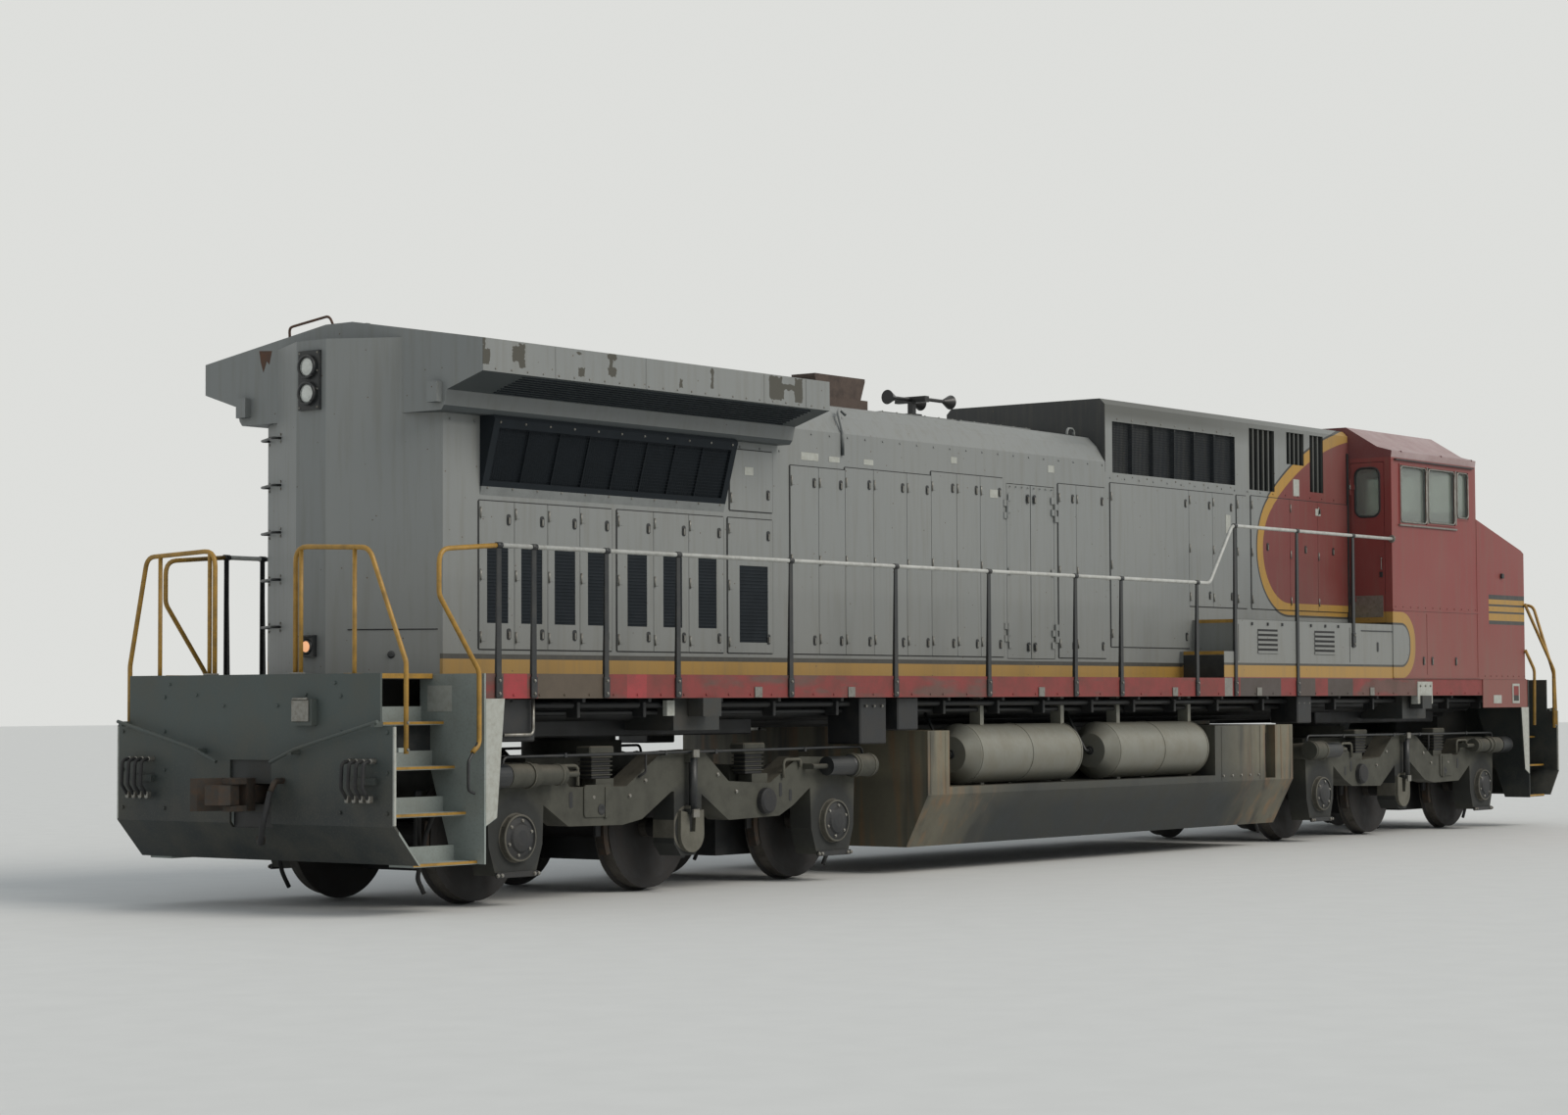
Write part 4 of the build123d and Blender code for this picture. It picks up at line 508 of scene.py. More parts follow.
# Finishes of one worn coat: its colour, the dirt on it, the size of the dirt's patches and of its grain in
# millimetres, the roughness, the dirty share, the relief in millimetres and the shader's other settings
PLAIN_FINISHES = {
    # Yellow enamel on grab rails, worn by gloves to a dull gloss, with dark primer chips
    "safety_yellow_enamel": ("stripe_yellow", "#5d4d2d", 90, 12, 0.45, 0.5, 0.3, {}),
    # Thin white enamel over steel tube, greyed by hands, with rust pinholes
    "white_rail_enamel": ("#b9bab4", "#6d675b", 110, 12, 0.42, 0.4, 0.3, {}),
    # Black enamel on brackets, posts and pipes, grey where dust sits on it
    "black_gloss_enamel": ("#212426", "#484640", 140, 12, 0.4, 0.35, 0.3, {}),
    # Cast and forged steel with dry tan dust on every face, and none of the oil
    "bare_dusty_steel": ("#5f5d52", "#3f3d35", 150, 9, 0.75, 0.5, 1.2, {}),
    # Unpainted coupler casting: nearly black, rust in its hollows, polished where it meets others
    "raw_cast_iron": ("#3d3a36", "#5c4634", 80, 7, 0.6, 0.55, 1.4, {"Metallic": 0.5}),
    # Motor frames under the floor: black grease with dust bedded in it
    "greasy_motor_casting": ("#1d1f21", "#35332e", 150, 12, 0.5, 0.5, 1.2, {}),
    # Grey engine enamel with an oil film, seen only through the open hood doors
    "oily_engine_enamel": ("#6d706c", "#3a3731", 220, 15, 0.35, 0.5, 0.8, {}),
    # Bare plate round the exhaust, browned by heat and greyed by soot
    "heat_browned_steel": ("#4e4037", "#282422", 120, 10, 0.7, 0.6, 1.0, {}),
    # The horn's castings in black enamel, still fairly glossy
    "cast_aluminium_black": ("#1b1c1d", "#44413b", 90, 9, 0.32, 0.3, 0.3, {}),
    # Clear pressed glass over a silvered bowl, milky with dust
    "pressed_lamp_glass": ("#c9ccc6", "#8c8a80", 60, 20, 0.16, 0.3, 0.2,
                           {"Metallic": 0.35, "Coat Weight": 1.0}),
    # Grey-green laminated glass: the sky shows through two panes, under a film of dust
    "tinted_window_glass": ("#b4beb5", "#9a9b90", 260, 20, 0.09, 0.2, 0.05,
                            {"Transmission Weight": 0.76, "IOR": 1.5}),
    # Grey-green wrinkle enamel on the control desk, matt and finely pebbled
    "textured_desk_enamel": ("#4f5652", "#6a675d", 200, 4, 0.65, 0.3, 0.5, {}),
    # Moulded rubber of hoses, window seals and door gaskets: matt, grey with age
    "black_rubber": ("#1f2022", "#47453f", 70, 8, 0.72, 0.35, 0.3, {}),
    # Zinc-plated bolts, latches and clamps: dull silver with brown at the edges
    "galvanised_steel": ("#8b8a84", "#5d5245", 45, 7, 0.42, 0.5, 0.3, {"Metallic": 0.7}),
    # Moulded amber lens, lit from within by a small lamp
    "amber_marker_lens": ("#c98a5c", "#8f5a34", 30, 6, 0.2, 0.2, 0.2,
                          {"Emission Color": linear("#f2b98c"), "Emission Strength": 0.75}),
    # Painted aluminium plates with nothing on them, yellowed and dusty
    "blank_white_plate": ("#a9aba3", "#807b6d", 50, 8, 0.5, 0.4, 0.2, {}),
    # Mild steel that has lost its paint: dark brown with orange bloom
    "rusted_plate": ("#4f3b30", "#6e4d38", 70, 8, 0.8, 0.5, 0.9, {}),
}
ENAMEL, SILL, STEP, YELLOW, WHITE, BLACK, PLATE, RUST = ("alkyd_body_enamel", "dusty_sill_enamel",
                                                         "worn_step_enamel", "safety_yellow_enamel",
                                                         "white_rail_enamel", "black_gloss_enamel",
                                                         "blank_white_plate", "rusted_plate")
CAST, BARE, IRON, GREASE, ZINC, RUBBER, MESH, GLASS = (
    "dusty_cast_steel", "bare_dusty_steel", "raw_cast_iron", "greasy_motor_casting", "galvanised_steel",
    "black_rubber", "woven_wire_mesh", "pressed_lamp_glass")
SLOT_FINISHES = {
    "hood_paint": ENAMEL, "cab_paint": ENAMEL, "roof_paint": "chalked_roof_enamel", "sill_paint": SILL,
    "step_paint": STEP, "rail_paint": WHITE, "yellow_paint": YELLOW, "tank_paint": "fuel_stained_enamel",
    "reservoir_paint": "silver_tank_enamel", "bogie_steel": CAST, "wheel_steel": "rolled_wheel_steel",
    "coupler_iron": IRON, "motor_steel": GREASE, "engine_enamel": "oily_engine_enamel", "screen_mesh": MESH,
    "stack_steel": "heat_browned_steel", "horn_black": "cast_aluminium_black", "lamp_lens": BLACK,
    "window_glass": "tinted_window_glass", "seat_cloth": "woven_seat_cloth",
    "desk_paint": "textured_desk_enamel",
}


def finish(name):
    """A finish by name, made once."""
    if name in bpy.data.materials:
        return bpy.data.materials[name]
    material = bpy.data.materials.new(name)
    material.use_nodes = True
    tree = material.node_tree
    tree.nodes.clear()
    shader = add(tree, "BsdfPrincipled")
    add(tree, "OutputMaterial", {"Surface": shader})
    if name in MIXED_FINISHES:
        MIXED_FINISHES[name](tree, shader)
        return material
    coat, *looks, settings = PLAIN_FINISHES[name]
    worn(tree, shader, linear(coat) if coat.startswith("#") else painted(coat), *looks)
    for socket, value in settings.items():
        shader.inputs[socket].default_value = value
    return material


# Shapes
def bent(points, bend, steps=5):
    """A route whose corners are rounded to a bend radius, as a tube bender leaves them."""
    points = [Vector(point) for point in points]
    route = [points[0]]
    for before, corner, after in zip(points, points[1:], points[2:]):
        into, out = before - corner, after - corner
        half_turn = into.angle(out) / 2
        reach = min(bend / math.tan(half_turn), into.length * 0.45, out.length * 0.45)
        start = corner + into.normalized() * reach
        end = corner + out.normalized() * reach
        for step in range(steps + 1):
            share = step / steps
            route.append(start.lerp(corner, share).lerp(corner.lerp(end, share), share))
    route.append(points[-1])
    return route


# Metres between two rings of a turned shape at one place, and the radius of its points
APART = 1e-6
FINEST = 1e-4


def ring_of(centre, side, up, radius, sides):
    """The corners of a regular ring round a place."""
    angles = [math.tau * turn / sides for turn in range(sides)]
    return [centre + (side * math.cos(angle) + up * math.sin(angle)) * radius for angle in angles]


def hoop(centre, side, up, radius, steps):
    """A closed route once round a place."""
    route = ring_of(Vector(centre), Vector(side), Vector(up), radius, steps)
    return [*route, route[0]]


class Workpiece:
    """Collects the corners and faces of one piece, with a finish for each face.

    Places are told above the rail; side mirrors them across, and way and middle along.
    """

    def __init__(self, side=1, way=1, middle=0.0):
        self.side, self.way, self.middle = side, way, middle
        self.corners = []
        self.faces = []
        self.finishes = []
        self.rounded = []

    def at(self, place):
        """A told place in the model's own frame."""
        return Vector((self.middle + self.way * place[0], self.side * place[1], RAIL + place[2]))

    def toward(self, axis):
        """A told direction in the model's own frame."""
        return Vector((self.way * axis[0], self.side * axis[1], axis[2])).normalized()

    def take(self, corners, faces, finish_name, rounded=False):
        """Add faces over new corners."""
        start = len(self.corners)
        self.corners += [Vector(corner) for corner in corners]
        self.faces += [[start + place for place in face] for face in faces]
        self.finishes += [finish_name] * len(faces)
        self.rounded += [rounded] * len(faces)

    def box(self, low, high, finish_name, chamfer=0.002):
        """A box between two corners, its edges broken by a small chamfer."""
        low, high = [[pick(pair) for pair in zip(self.at(low), self.at(high))] for pick in (min, max)]
        middle = (Vector(low) + Vector(high)) / 2
        half = (Vector(high) - Vector(low)) / 2
        cut = min(chamfer, min(half) * 0.4)
        corners = []
        for corner in range(8):
            signs = [1 if corner >> axis & 1 else -1 for axis in range(3)]
            for flat in range(3):
                spot = [signs[axis] * (half[axis] - (0 if axis == flat else cut)) for axis in range(3)]
                corners.append(middle + Vector(spot))
        faces = [[corner * 3 + flat for flat in range(3)] for corner in range(8)]
        for axis in range(3):
            first, second = (axis + 1) % 3, (axis + 2) % 3
            around = (0, 1 << first, 1 << first | 1 << second, 1 << second)
            for sign in (0, 1):
                faces.append([(sign << axis | turn) * 3 + axis for turn in around])
            for near in around:
                far = near | 1 << axis
                faces.append([near * 3 + first, far * 3 + first, far * 3 + second, near * 3 + second])
        self.take(corners, faces, finish_name)

    def skin(self, corners, sides, finish_name, rounded=False):
        """A skin over rings of corners, with a flat face at both ends."""
        last = len(corners) // sides - 1
        self.take(corners, [[ring * sides + turn, ring * sides + (turn + 1) % sides,
                             (ring + 1) * sides + (turn + 1) % sides, (ring + 1) * sides + turn]
                            for ring in range(last) for turn in range(sides)], finish_name, rounded)
        start = -len(corners)
        self.take([], [[start + ring * sides + turn for turn in range(sides)] for ring in (0, last)],
                  finish_name)

    def tube(self, route, radius, finish_name, sides=10):
        """A round bar along a route."""
        route = [self.at(point) for point in route]
        side = (route[1] - route[0]).orthogonal()
        corners = []
        for number, point in enumerate(route):
            ahead = (route[min(number + 1, len(route) - 1)] - route[max(number - 1, 0)]).normalized()
            side = (side - ahead * side.dot(ahead)).normalized()
            corners += ring_of(point, side, ahead.cross(side), radius, sides)
        self.skin(corners, sides, finish_name, True)

    def turned(self, centre, axis, profile, finish_name, sides=20):
        """A lathe-turned shape: profile is (distance along the axis, radius) from end to end."""
        axis = self.toward(axis)
        side = axis.orthogonal().normalized()
        corners = []
        for number, (reach, radius) in enumerate(profile):
            point = self.at(centre) + axis * (reach + number * APART)
            corners += ring_of(point, side, axis.cross(side), max(radius, FINEST), sides)
        self.skin(corners, sides, finish_name)

    def bolt(self, centre, axis, size, finish_name=ZINC):
        """A hexagon head on its washer."""
        self.turned(centre, axis, [(-0.001, size * 1.3), (size * 0.2, size * 1.3), (size * 0.2, size),
                                   (size * 0.8, size), (size * 0.95, size * 0.8)], finish_name, 6)

    def bolts(self, first, last, count, axis, size, finish_name=ZINC):
        """A row of bolts, the first and last at its ends."""
        for place in range(count):
            self.bolt(Vector(first).lerp(Vector(last), place / (count - 1)), axis, size, finish_name)

    def spots(self, outline, axis, level):
        """The corners of an outline of the other two axes in order, at one place along an axis."""
        corners = []
        for point in outline:
            spot = list(point)
            spot.insert(axis, level)
            corners.append(self.at(spot))
        return corners

    def plate(self, outline, axis, low, high, finish_name):
        """A flat plate: an outline of the other two axes in order, between two places along an axis."""
        count = len(outline)
        faces = [list(range(count)), [count + place for place in reversed(range(count))]]
        faces += [[place, (place + 1) % count, count + (place + 1) % count,
                   count + place] for place in range(count)]
        self.take(self.spots(outline, axis, low) + self.spots(outline, axis, high), faces, finish_name)

    def ring_plate(self, outer, inner, axis, low, high, finish_name):
        """A flat plate with one hole; both outlines have the same number of points."""
        count = len(outer)
        faces = []
        for place in range(count):
            after = (place + 1) % count
            for start in (0, 2 * count):
                faces.append([start + place, start + after, start + count + after, start + count + place])
            for start in (0, count):
                faces.append([start + place, start + after, start + 2 * count + after,
                              start + 2 * count + place])
        self.take([corner for level in (low, high) for corner in self.spots([*outer, *inner], axis, level)],
                  faces, finish_name)

    def latch(self, x, z, face):
        """A paddle latch in its dished plate."""
        self.plate(rounded_outline((x - 0.024, z - 0.045), (x + 0.024, z + 0.045), 0.02), 1, face,
                   face + 0.004, BLACK)
        self.box((x - 0.009, face + 0.003, z - 0.034), (x + 0.009, face + 0.014, z + 0.02), ZINC, 0.003)

    def made(self, name, body, slot, replaces=()):
        """The piece as an object that rides on a body."""
        names = sorted(set(self.finishes))
        mesh = bpy.data.meshes.new(name)
        mesh.from_pydata(self.corners, [], self.faces)
        for finish_name in names:
            mesh.materials.append(finish(finish_name))
        mesh.polygons.foreach_set("material_index", [names.index(own) for own in self.finishes])
        mesh.polygons.foreach_set("use_smooth", self.rounded)
        shell = bmesh.new()
        shell.from_mesh(mesh)
        bmesh.ops.recalc_face_normals(shell, faces=shell.faces)
        shell.to_mesh(mesh)
        shell.free()
        piece = bpy.data.objects.new(name, mesh)
        bpy.context.scene.collection.objects.link(piece)
        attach(piece, body)
        if replaces:
            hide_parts(*replaces)


def rounded_outline(low, high, corner, steps=4):
    """A rectangle with round corners, as a list of points."""
    points = []
    for sign_a, sign_b, from_angle in ((1, 1, 0), (-1, 1, 90), (-1, -1, 180), (1, -1, 270)):
        middle = (high[0] - corner if sign_a > 0 else low[0] + corner,
                  high[1] - corner if sign_b > 0 else low[1] + corner)
        for step in range(steps + 1):
            angle = math.radians(from_angle + 90 * step / steps)
            points.append((middle[0] + corner * math.cos(angle), middle[1] + corner * math.sin(angle)))
    return points


# Doors along the hood's side: rear, front, foot and head, above the rail
SIDE_DOORS = [
    (-8.825, -8.422, 1.99, 3.16), (-8.416, -8.026, 1.99, 3.16), (-8.02, -7.632, 1.99, 3.16),
    (-7.626, -7.228, 1.99, 3.16), (-7.159, -6.698, 1.99, 3.16), (-6.692, -6.231, 1.99, 3.16),
    (-6.225, -5.751, 1.99, 3.16), (-5.69, -5.06, 1.99, 3.16), (-5.66, -5.06, 3.23, 3.76),
    (-4.799, -4.385, 1.99, 3.665), (-4.379, -3.985, 1.99, 3.665), (-3.979, -3.546, 1.99, 3.69),
    (-3.54, -3.017, 1.99, 3.69), (-3.011, -2.618, 1.99, 3.69), (-2.612, -2.194, 1.99, 3.73),
    (-2.188, -1.794, 1.99, 3.73), (-1.788, -1.392, 1.99, 3.73), (-0.396, -0.068, 1.99, 3.73),
    (-0.062, 0.49, 1.99, 3.73), (0.592, 2.166, 2.11, 3.79), (2.172, 2.668, 2.56, 3.79),
    (2.674, 3.14, 2.56, 3.79), (3.2, 3.416, 2.56, 3.79), (3.52, 4.392, 2.56, 3.8),
    (4.398, 5.05, 2.56, 3.8), (5.056, 5.77, 2.56, 3.8),
]
# Vents cut in those doors: rear, front, foot and head
VENTS = [
    (-8.738, -8.492, 2.195, 2.8), (-8.339, -8.088, 2.195, 2.8), (-7.94, -7.688, 2.195, 2.8),
    (-7.532, -7.281, 2.195, 2.8), (-7.033, -6.781, 2.195, 2.8), (-6.568, -6.319, 2.195, 2.8),
    (-6.1, -5.851, 2.195, 2.8), (-5.533, -5.132, 2.08, 2.75),
]
# Handrail posts along the sill, and those of the raised part
POSTS = [-9.18, -8.78, -7.92, -7.02, -5.5, -3.95, -2.45, -0.94, -0.09, 1.4]
RAISED_POSTS = [2.2, 3.56, 4.865]
TREADS = [0.36, 0.73, 1.08, 1.42]


class LOCO_OT_stage(bpy.types.Operator):
    """Set up the floor, the soft light and the camera"""
    bl_idname = "loco.stage"
    bl_label = "Stage"

    def execute(self, context):
        scene = context.scene
        mesh = bpy.data.meshes.new("floor")
        reach = 160
        mesh.from_pydata([(-reach, -reach, 0), (reach, -reach, 0), (reach, reach, 0), (-reach, reach, 0)],
                         [], [(0, 1, 2, 3)])
        mesh.materials.append(finish("studio_floor_paint"))
        floor = bpy.data.objects.new("floor", mesh)
        scene.collection.objects.link(floor)

        world = bpy.data.worlds.new("soft_sky")
        world.use_nodes = True
        tree = world.node_tree
        tree.nodes.clear()
        path = add(tree, "LightPath")
        seen = add(tree, "Math", {0: path.outputs["Is Camera Ray"], 1: path.outputs["Is Glossy Ray"]},
                   operation="MAXIMUM")
        seen = add(tree, "Math", {0: seen, 1: path.outputs["Is Transmission Ray"]}, operation="MAXIMUM")
        strength = add(tree, "MapRange", {"Value": seen, "To Min": 0.62, "To Max": 0.92})
        tone = add(tree, "Mix", {"Factor": seen, "A": linear("#dce4ec"), "B": linear("#e6e7e4")},
                   data_type="RGBA")
        light = add(tree, "Background", {"Color": tone, "Strength": strength})
        add(tree, "OutputWorld", {"Surface": light})
        scene.world = world

        # An overcast sun from the front right, soft as a large studio lamp
        sun = bpy.data.lights.new("soft_key", "SUN")
        sun.energy = 1.7
        sun.angle = math.radians(35)
        sun.color = linear("#fff9f2")[:3]
        key = bpy.data.objects.new("soft_key", sun)
        key.rotation_euler = Vector((0.17, -0.77, 0.62)).to_track_quat("Z", "Y").to_euler()
        scene.collection.objects.link(key)

        # The camera of the photograph, found from the locomotive's known sizes
        yaw, pitch, roll = math.radians(37.65), math.radians(2.6057), math.radians(-0.249)
        ahead = Vector((math.cos(yaw) * math.cos(pitch), math.sin(yaw) * math.cos(pitch), math.sin(pitch)))
        right = Vector((math.sin(yaw), -math.cos(yaw), 0))
        up = right.cross(ahead)
        level_right = right * math.cos(roll) + up * math.sin(roll)
        level_up = up * math.cos(roll) - right * math.sin(roll)
        lens = bpy.data.cameras.new("photo_camera")
        lens.sensor_width = 36
        lens.lens = 72.03
        lens.clip_end = 400
        camera = bpy.data.objects.new("photo_camera", lens)
        turn = Matrix((level_right, level_up, -ahead)).transposed().to_4x4()
        camera.matrix_world = Matrix.Translation((-26.9035, -17.971, 1.575 + RAIL)) @ turn
        scene.collection.objects.link(camera)
        scene.camera = camera
        scene.view_settings.view_transform = "Standard"
        return {"FINISHED"}


class LOCO_OT_paint_frame(bpy.types.Operator):
    """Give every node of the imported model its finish"""
    bl_idname = "loco.paint_frame"
    bl_label = "Finishes of the packed model"

    def execute(self, context):
        for row in frame["record"]["subparts"]:
            for own in frame["nodes"][row["node"]].material_slots:
                own.material = finish(SLOT_FINISHES[row["material_slot"]])
        return {"FINISHED"}


class LOCO_OT_handrails(bpy.types.Operator):
    """Bend the side handrails and set them on their posts"""
    bl_idname = "loco.handrails"
    bl_label = "Side handrails"

    def execute(self, context):
        sizes = context.scene.loco_sizes
        top, raised_top = 2.775, 3.395
        for side, name in SIDES:
            work = Workpiece(side)
            y = DECK_HALF + 0.01
            level = [(POSTS[0], y, top), (1.66, y, top), (2.145, y, raised_top),
                     (CAB_REAR - 0.001, y, raised_top)]
            work.tube(bent(level, sizes.bend_radius), sizes.rail_radius, WHITE, 12)
            stair = [(-9.474, y, 1.189), (-9.398, y, 1.248), (-9.398, y, 1.806), (-9.837, y, 2.378),
                     (-9.837, y, 2.724), (POSTS[0], y, top)]
            work.tube(bent(stair, sizes.bend_radius), sizes.rail_radius, YELLOW, 12)
            work.tube(bent([(-9.398, y, 1.28), (-9.517, y, 1.12), (-9.517, y, 0.9), (-9.45, y, 0.879)],
                           0.04), 0.012, BLACK, 8)
            work.turned((CAB_REAR, y, raised_top), (-1, 0, 0), [(-0.001, 0.045), (0.01, 0.045),
                                                                (0.014, 0.03)], ZINC, 12)
            for places, head in ((POSTS, top), (RAISED_POSTS, raised_top)):
                for x in places:
                    foot = 2.14 if x == RAISED_POSTS[-1] else 1.6
                    inner, outer = DECK_HALF, DECK_HALF + 0.016
                    # Pressed angle: a flange along the sill and a web that stands out behind it
                    work.plate([(x - 0.027, foot), (x + 0.027, foot), (x + 0.023, head - 0.02),
                                (x - 0.023, head - 0.02)], 1, DECK_HALF + 0.006, outer, BLACK)
                    web = max(DECK, foot)
                    work.plate([(inner - 0.03, web), (DECK_HALF + 0.007, web),
                                (DECK_HALF + 0.007, head - 0.02), (inner - 0.008, head - 0.02)], 0,
                               x - 0.004, x + 0.004, BLACK)
                    work.box((x - 0.035, inner, foot + 0.005), (x + 0.035, outer + 0.006, foot + 0.165),
                             BLACK, 0.004)
                    work.bolts((x, outer + 0.006, foot + 0.035), (x, outer + 0.006, foot + 0.135), 2,
                               (0, 1, 0), 0.011)
                    work.tube([(x - 0.03, y, head), (x + 0.03, y, head)], sizes.rail_radius + 0.005, BLACK,
                              12)
            work.made(f"side_handrail_{name}", BODY, "rail_paint", (f"handrail_{name}",))
        return {"FINISHED"}


class LOCO_OT_end_rails(bpy.types.Operator):
    """Bend the yellow rails over both end platforms"""
    bl_idname = "loco.end_rails"
    bl_label = "End handrails"

    def execute(self, context):
        sizes = context.scene.loco_sizes
        radius, bend = sizes.end_rail_radius, sizes.bend_radius
        top = 2.76
        for end, name in ENDS:
            work = Workpiece(way=end)
            x = 10.281
            for work.side in (-1, 1):
                route = [(x, 0.45, DECK), (x, 0.45, top), (x, 1.24, top - 0.03), (x - 0.085, 1.54, 1.87),
                         (x - 0.085, 1.54, 1.19)]
                work.tube(bent(route, bend), radius, YELLOW, 12)
                work.tube([(x, 1.085, 1.5), (x, 1.085, top - 0.02)], radius * 0.9, YELLOW, 12)
                work.tube([(x, 0.51, DECK), (x, 0.51, top - 0.004)], radius * 0.9, YELLOW, 12)
                for y in (0.45, 0.51):
                    work.box((x - end * 0.035, y - 0.03, DECK), (x + end * 0.018, y + 0.03, DECK + 0.012),
                             ZINC)
                work.box((x - 0.1, 1.535, 1.2), (10.3, 1.49, 1.235), STEP)
                work.bolts((x - 0.085, 1.559, 1.22), (x - 0.085, 1.559, 1.42), 2, (0, 1, 0), 0.01)
                if end == 1:
                    y = CAB_HALF + radius + 0.0005
                    work.tube(bent([(9.36, y, 2.717), (10.193, y, 1.91), (10.24, y, 1.221)], bend), radius,
                              YELLOW, 12)
                    work.tube(bent([(9.36, y, 2.148), (9.61, y, 1.907), (9.586, y, 1.228)], bend), radius,
                              YELLOW, 12)
            work.made(f"end_handrails_{name}", BODY, "yellow_paint", (f"end_rails_{name}",))
        return {"FINISHED"}


class LOCO_OT_grab_irons(bpy.types.Operator):
    """Bend the grab irons of the rear ladder and of the roof above it"""
    bl_idname = "loco.grab_irons"
    bl_label = "Grab irons"

    def execute(self, context):
        radius = context.scene.loco_sizes.rung_radius
        work = Workpiece()
        start = Vector((-9.693, 0.166, 0))
        run = (Vector((-9.229, 0.984, 0)) - start).normalized()
        out = Vector((-run.y, run.x, 0))
        up = Vector((0, 0, 1))
        for height in (2.18, 2.56, 2.94, 3.32, 3.7):
            foot, head = (start + run * reach + up * height for reach in (0.5, 0.88))
            work.tube(bent([foot - out * 0.004, foot + out * 0.07, head + out * 0.07, head - out * 0.004],
                           0.03), radius, BLACK, 8)
            for spot in (foot, head):
                for rise in (0.03, -0.03):
                    work.bolt(spot + up * rise, out, 0.01)
        # The cover on the other rear corner: its seam and its latch
        work.side = -1
        work.tube([start + run * reach + up * 2.14 + out * 0.001 for reach in (0.18, 0.9)], 0.005, RUBBER,
                  6)
        work.turned(start + run * 0.53 + up * 1.944 - out * 0.002, out,
                    [(0, 0.03), (0.01, 0.03), (0.016, 0.018)], BLACK, 12)
        work.made("ladder_grab_irons", BODY, "yellow_paint", ("grab_irons",))
        roof = Workpiece()
        roof.tube(bent([(-9.33, 0.62, 4.42), (-9.36, 0.6, 4.6), (-9.36, 0.14, 4.66), (-9.33, 0.12, 4.57)],
                       0.05), radius, RUST, 8)
        roof.made("roof_grab_rail", BODY, "stack_steel")
        return {"FINISHED"}


class LOCO_OT_hood_hardware(bpy.types.Operator):
    """Hang the hood's doors: hinges, latches, gaskets, bolts and blank plates"""
    bl_idname = "loco.hood_hardware"
    bl_label = "Hood hinges, latches and bolts"

    def execute(self, context):
        for side, name in SIDES:
            gaskets, hardware = Workpiece(side), Workpiece(side)
            face = DOOR_FACE
            wall = HOOD_HALF
            for rear, front, foot, head in SIDE_DOORS:
                for x in (rear - 0.003, front + 0.003):
                    gaskets.box((x - 0.008, wall, foot), (x + 0.008, wall + 0.004, head), RUBBER, 0.0005)
                for z in (foot - 0.004, head + 0.004):
                    gaskets.box((rear, wall, z - 0.005), (front, wall + 0.004, z + 0.005), RUBBER, 0.0005)
                tall = head - foot
                for share in ((0.08, 0.5, 0.92) if tall > 1 else (0.2, 0.8)):
                    z = foot + tall * share
                    x = rear + 0.012
                    hardware.tube([(x, face + 0.004, z - 0.045), (x, face + 0.004, z + 0.045)], 0.008, ZINC,
                                  6)
                    hardware.box((x, face, z - 0.035), (x + 0.05, face + 0.003, z + 0.035), ENAMEL, 0.001)
                if front - rear < 0.3:
                    continue
                levels = (foot + 0.12, head - 0.14) if tall > 1 else (foot + 0.15,)
                x = front - 0.065
                if rear > 3.5:
                    levels, x = (3.25,), rear + 0.36
                for z in levels:
                    hardware.latch(x, z, face)
            gaskets.box((5.775, wall, 2.415), (5.8, wall + 0.022, 4.4), RUBBER, 0.004)
            # Bolts along the roof joint, about 260 mm apart
            for rear, front, z in ((-4.75, 0.45, 3.965), (0.6, 5.75, 3.845), (-9.15, -4.95, 3.785)):
                count = int((front - rear) / 0.26)
                hardware.bolts((rear, wall, z), (front, wall, z), count, (0, 1, 0), 0.009, ENAMEL)
            # Small blank plates, each by its middle, above the rail, width and height
            for x, z, width, tall in ((-4.503, 3.76, 0.26, 0.07), (-4.135, 3.755, 0.16, 0.05),
                                      (-3.607, 3.76, 0.15, 0.05), (-2.223, 3.86, 0.1, 0.06),
                                      (-0.516, 3.87, 0.11, 0.07), (-1.556, 3.571, 0.14, 0.08),
                                      (-5.398, 3.579, 0.12, 0.07), (4.571, 3.942, 0.14, 0.19),
                                      (5.061, 3.686, 0.12, 0.08), (3.004, 3.466, 0.1, 0.2)):
                on_door = any(rear < x + width / 2 and x - width / 2 < front and foot < z + tall / 2
                              and z - tall / 2 < head for rear, front, foot, head in SIDE_DOORS)
                base = face if on_door else wall
                hardware.box((x - width / 2, base, z - tall / 2),
                             (x + width / 2, base + 0.003, z + tall / 2), PLATE, 0.001)
            gaskets.made(f"door_gaskets_{name}", BODY, "hood_paint")
            hardware.made(f"hood_hardware_{name}", BODY, "hood_paint")
            for leaf, rear, front, edge in (("rear", -1.318, -0.898, 1), ("front", -0.89, -0.47, -1)):
                own = Workpiece(side)
                hung, free = (rear, front) if edge > 0 else (front, rear)
                for share in (0.08, 0.5, 0.92):
                    z = 1.97 + share * 1.72
                    own.box((hung + edge * 0.012, face, z - 0.035),
                            (hung + edge * 0.062, face + 0.003, z + 0.035), ENAMEL, 0.001)
                for z in (2.09, 3.55):
                    own.latch(free - edge * 0.055, z, face)
                own.bolts((rear + 0.05, face, 3.66), (front - 0.05, face, 3.66), 4, (0, 1, 0), 0.007,
                          ENAMEL)
                own.made(f"engine_door_hardware_{name}_{leaf}", f"engine_door_{name}_{leaf}", "hood_paint")
        return {"FINISHED"}


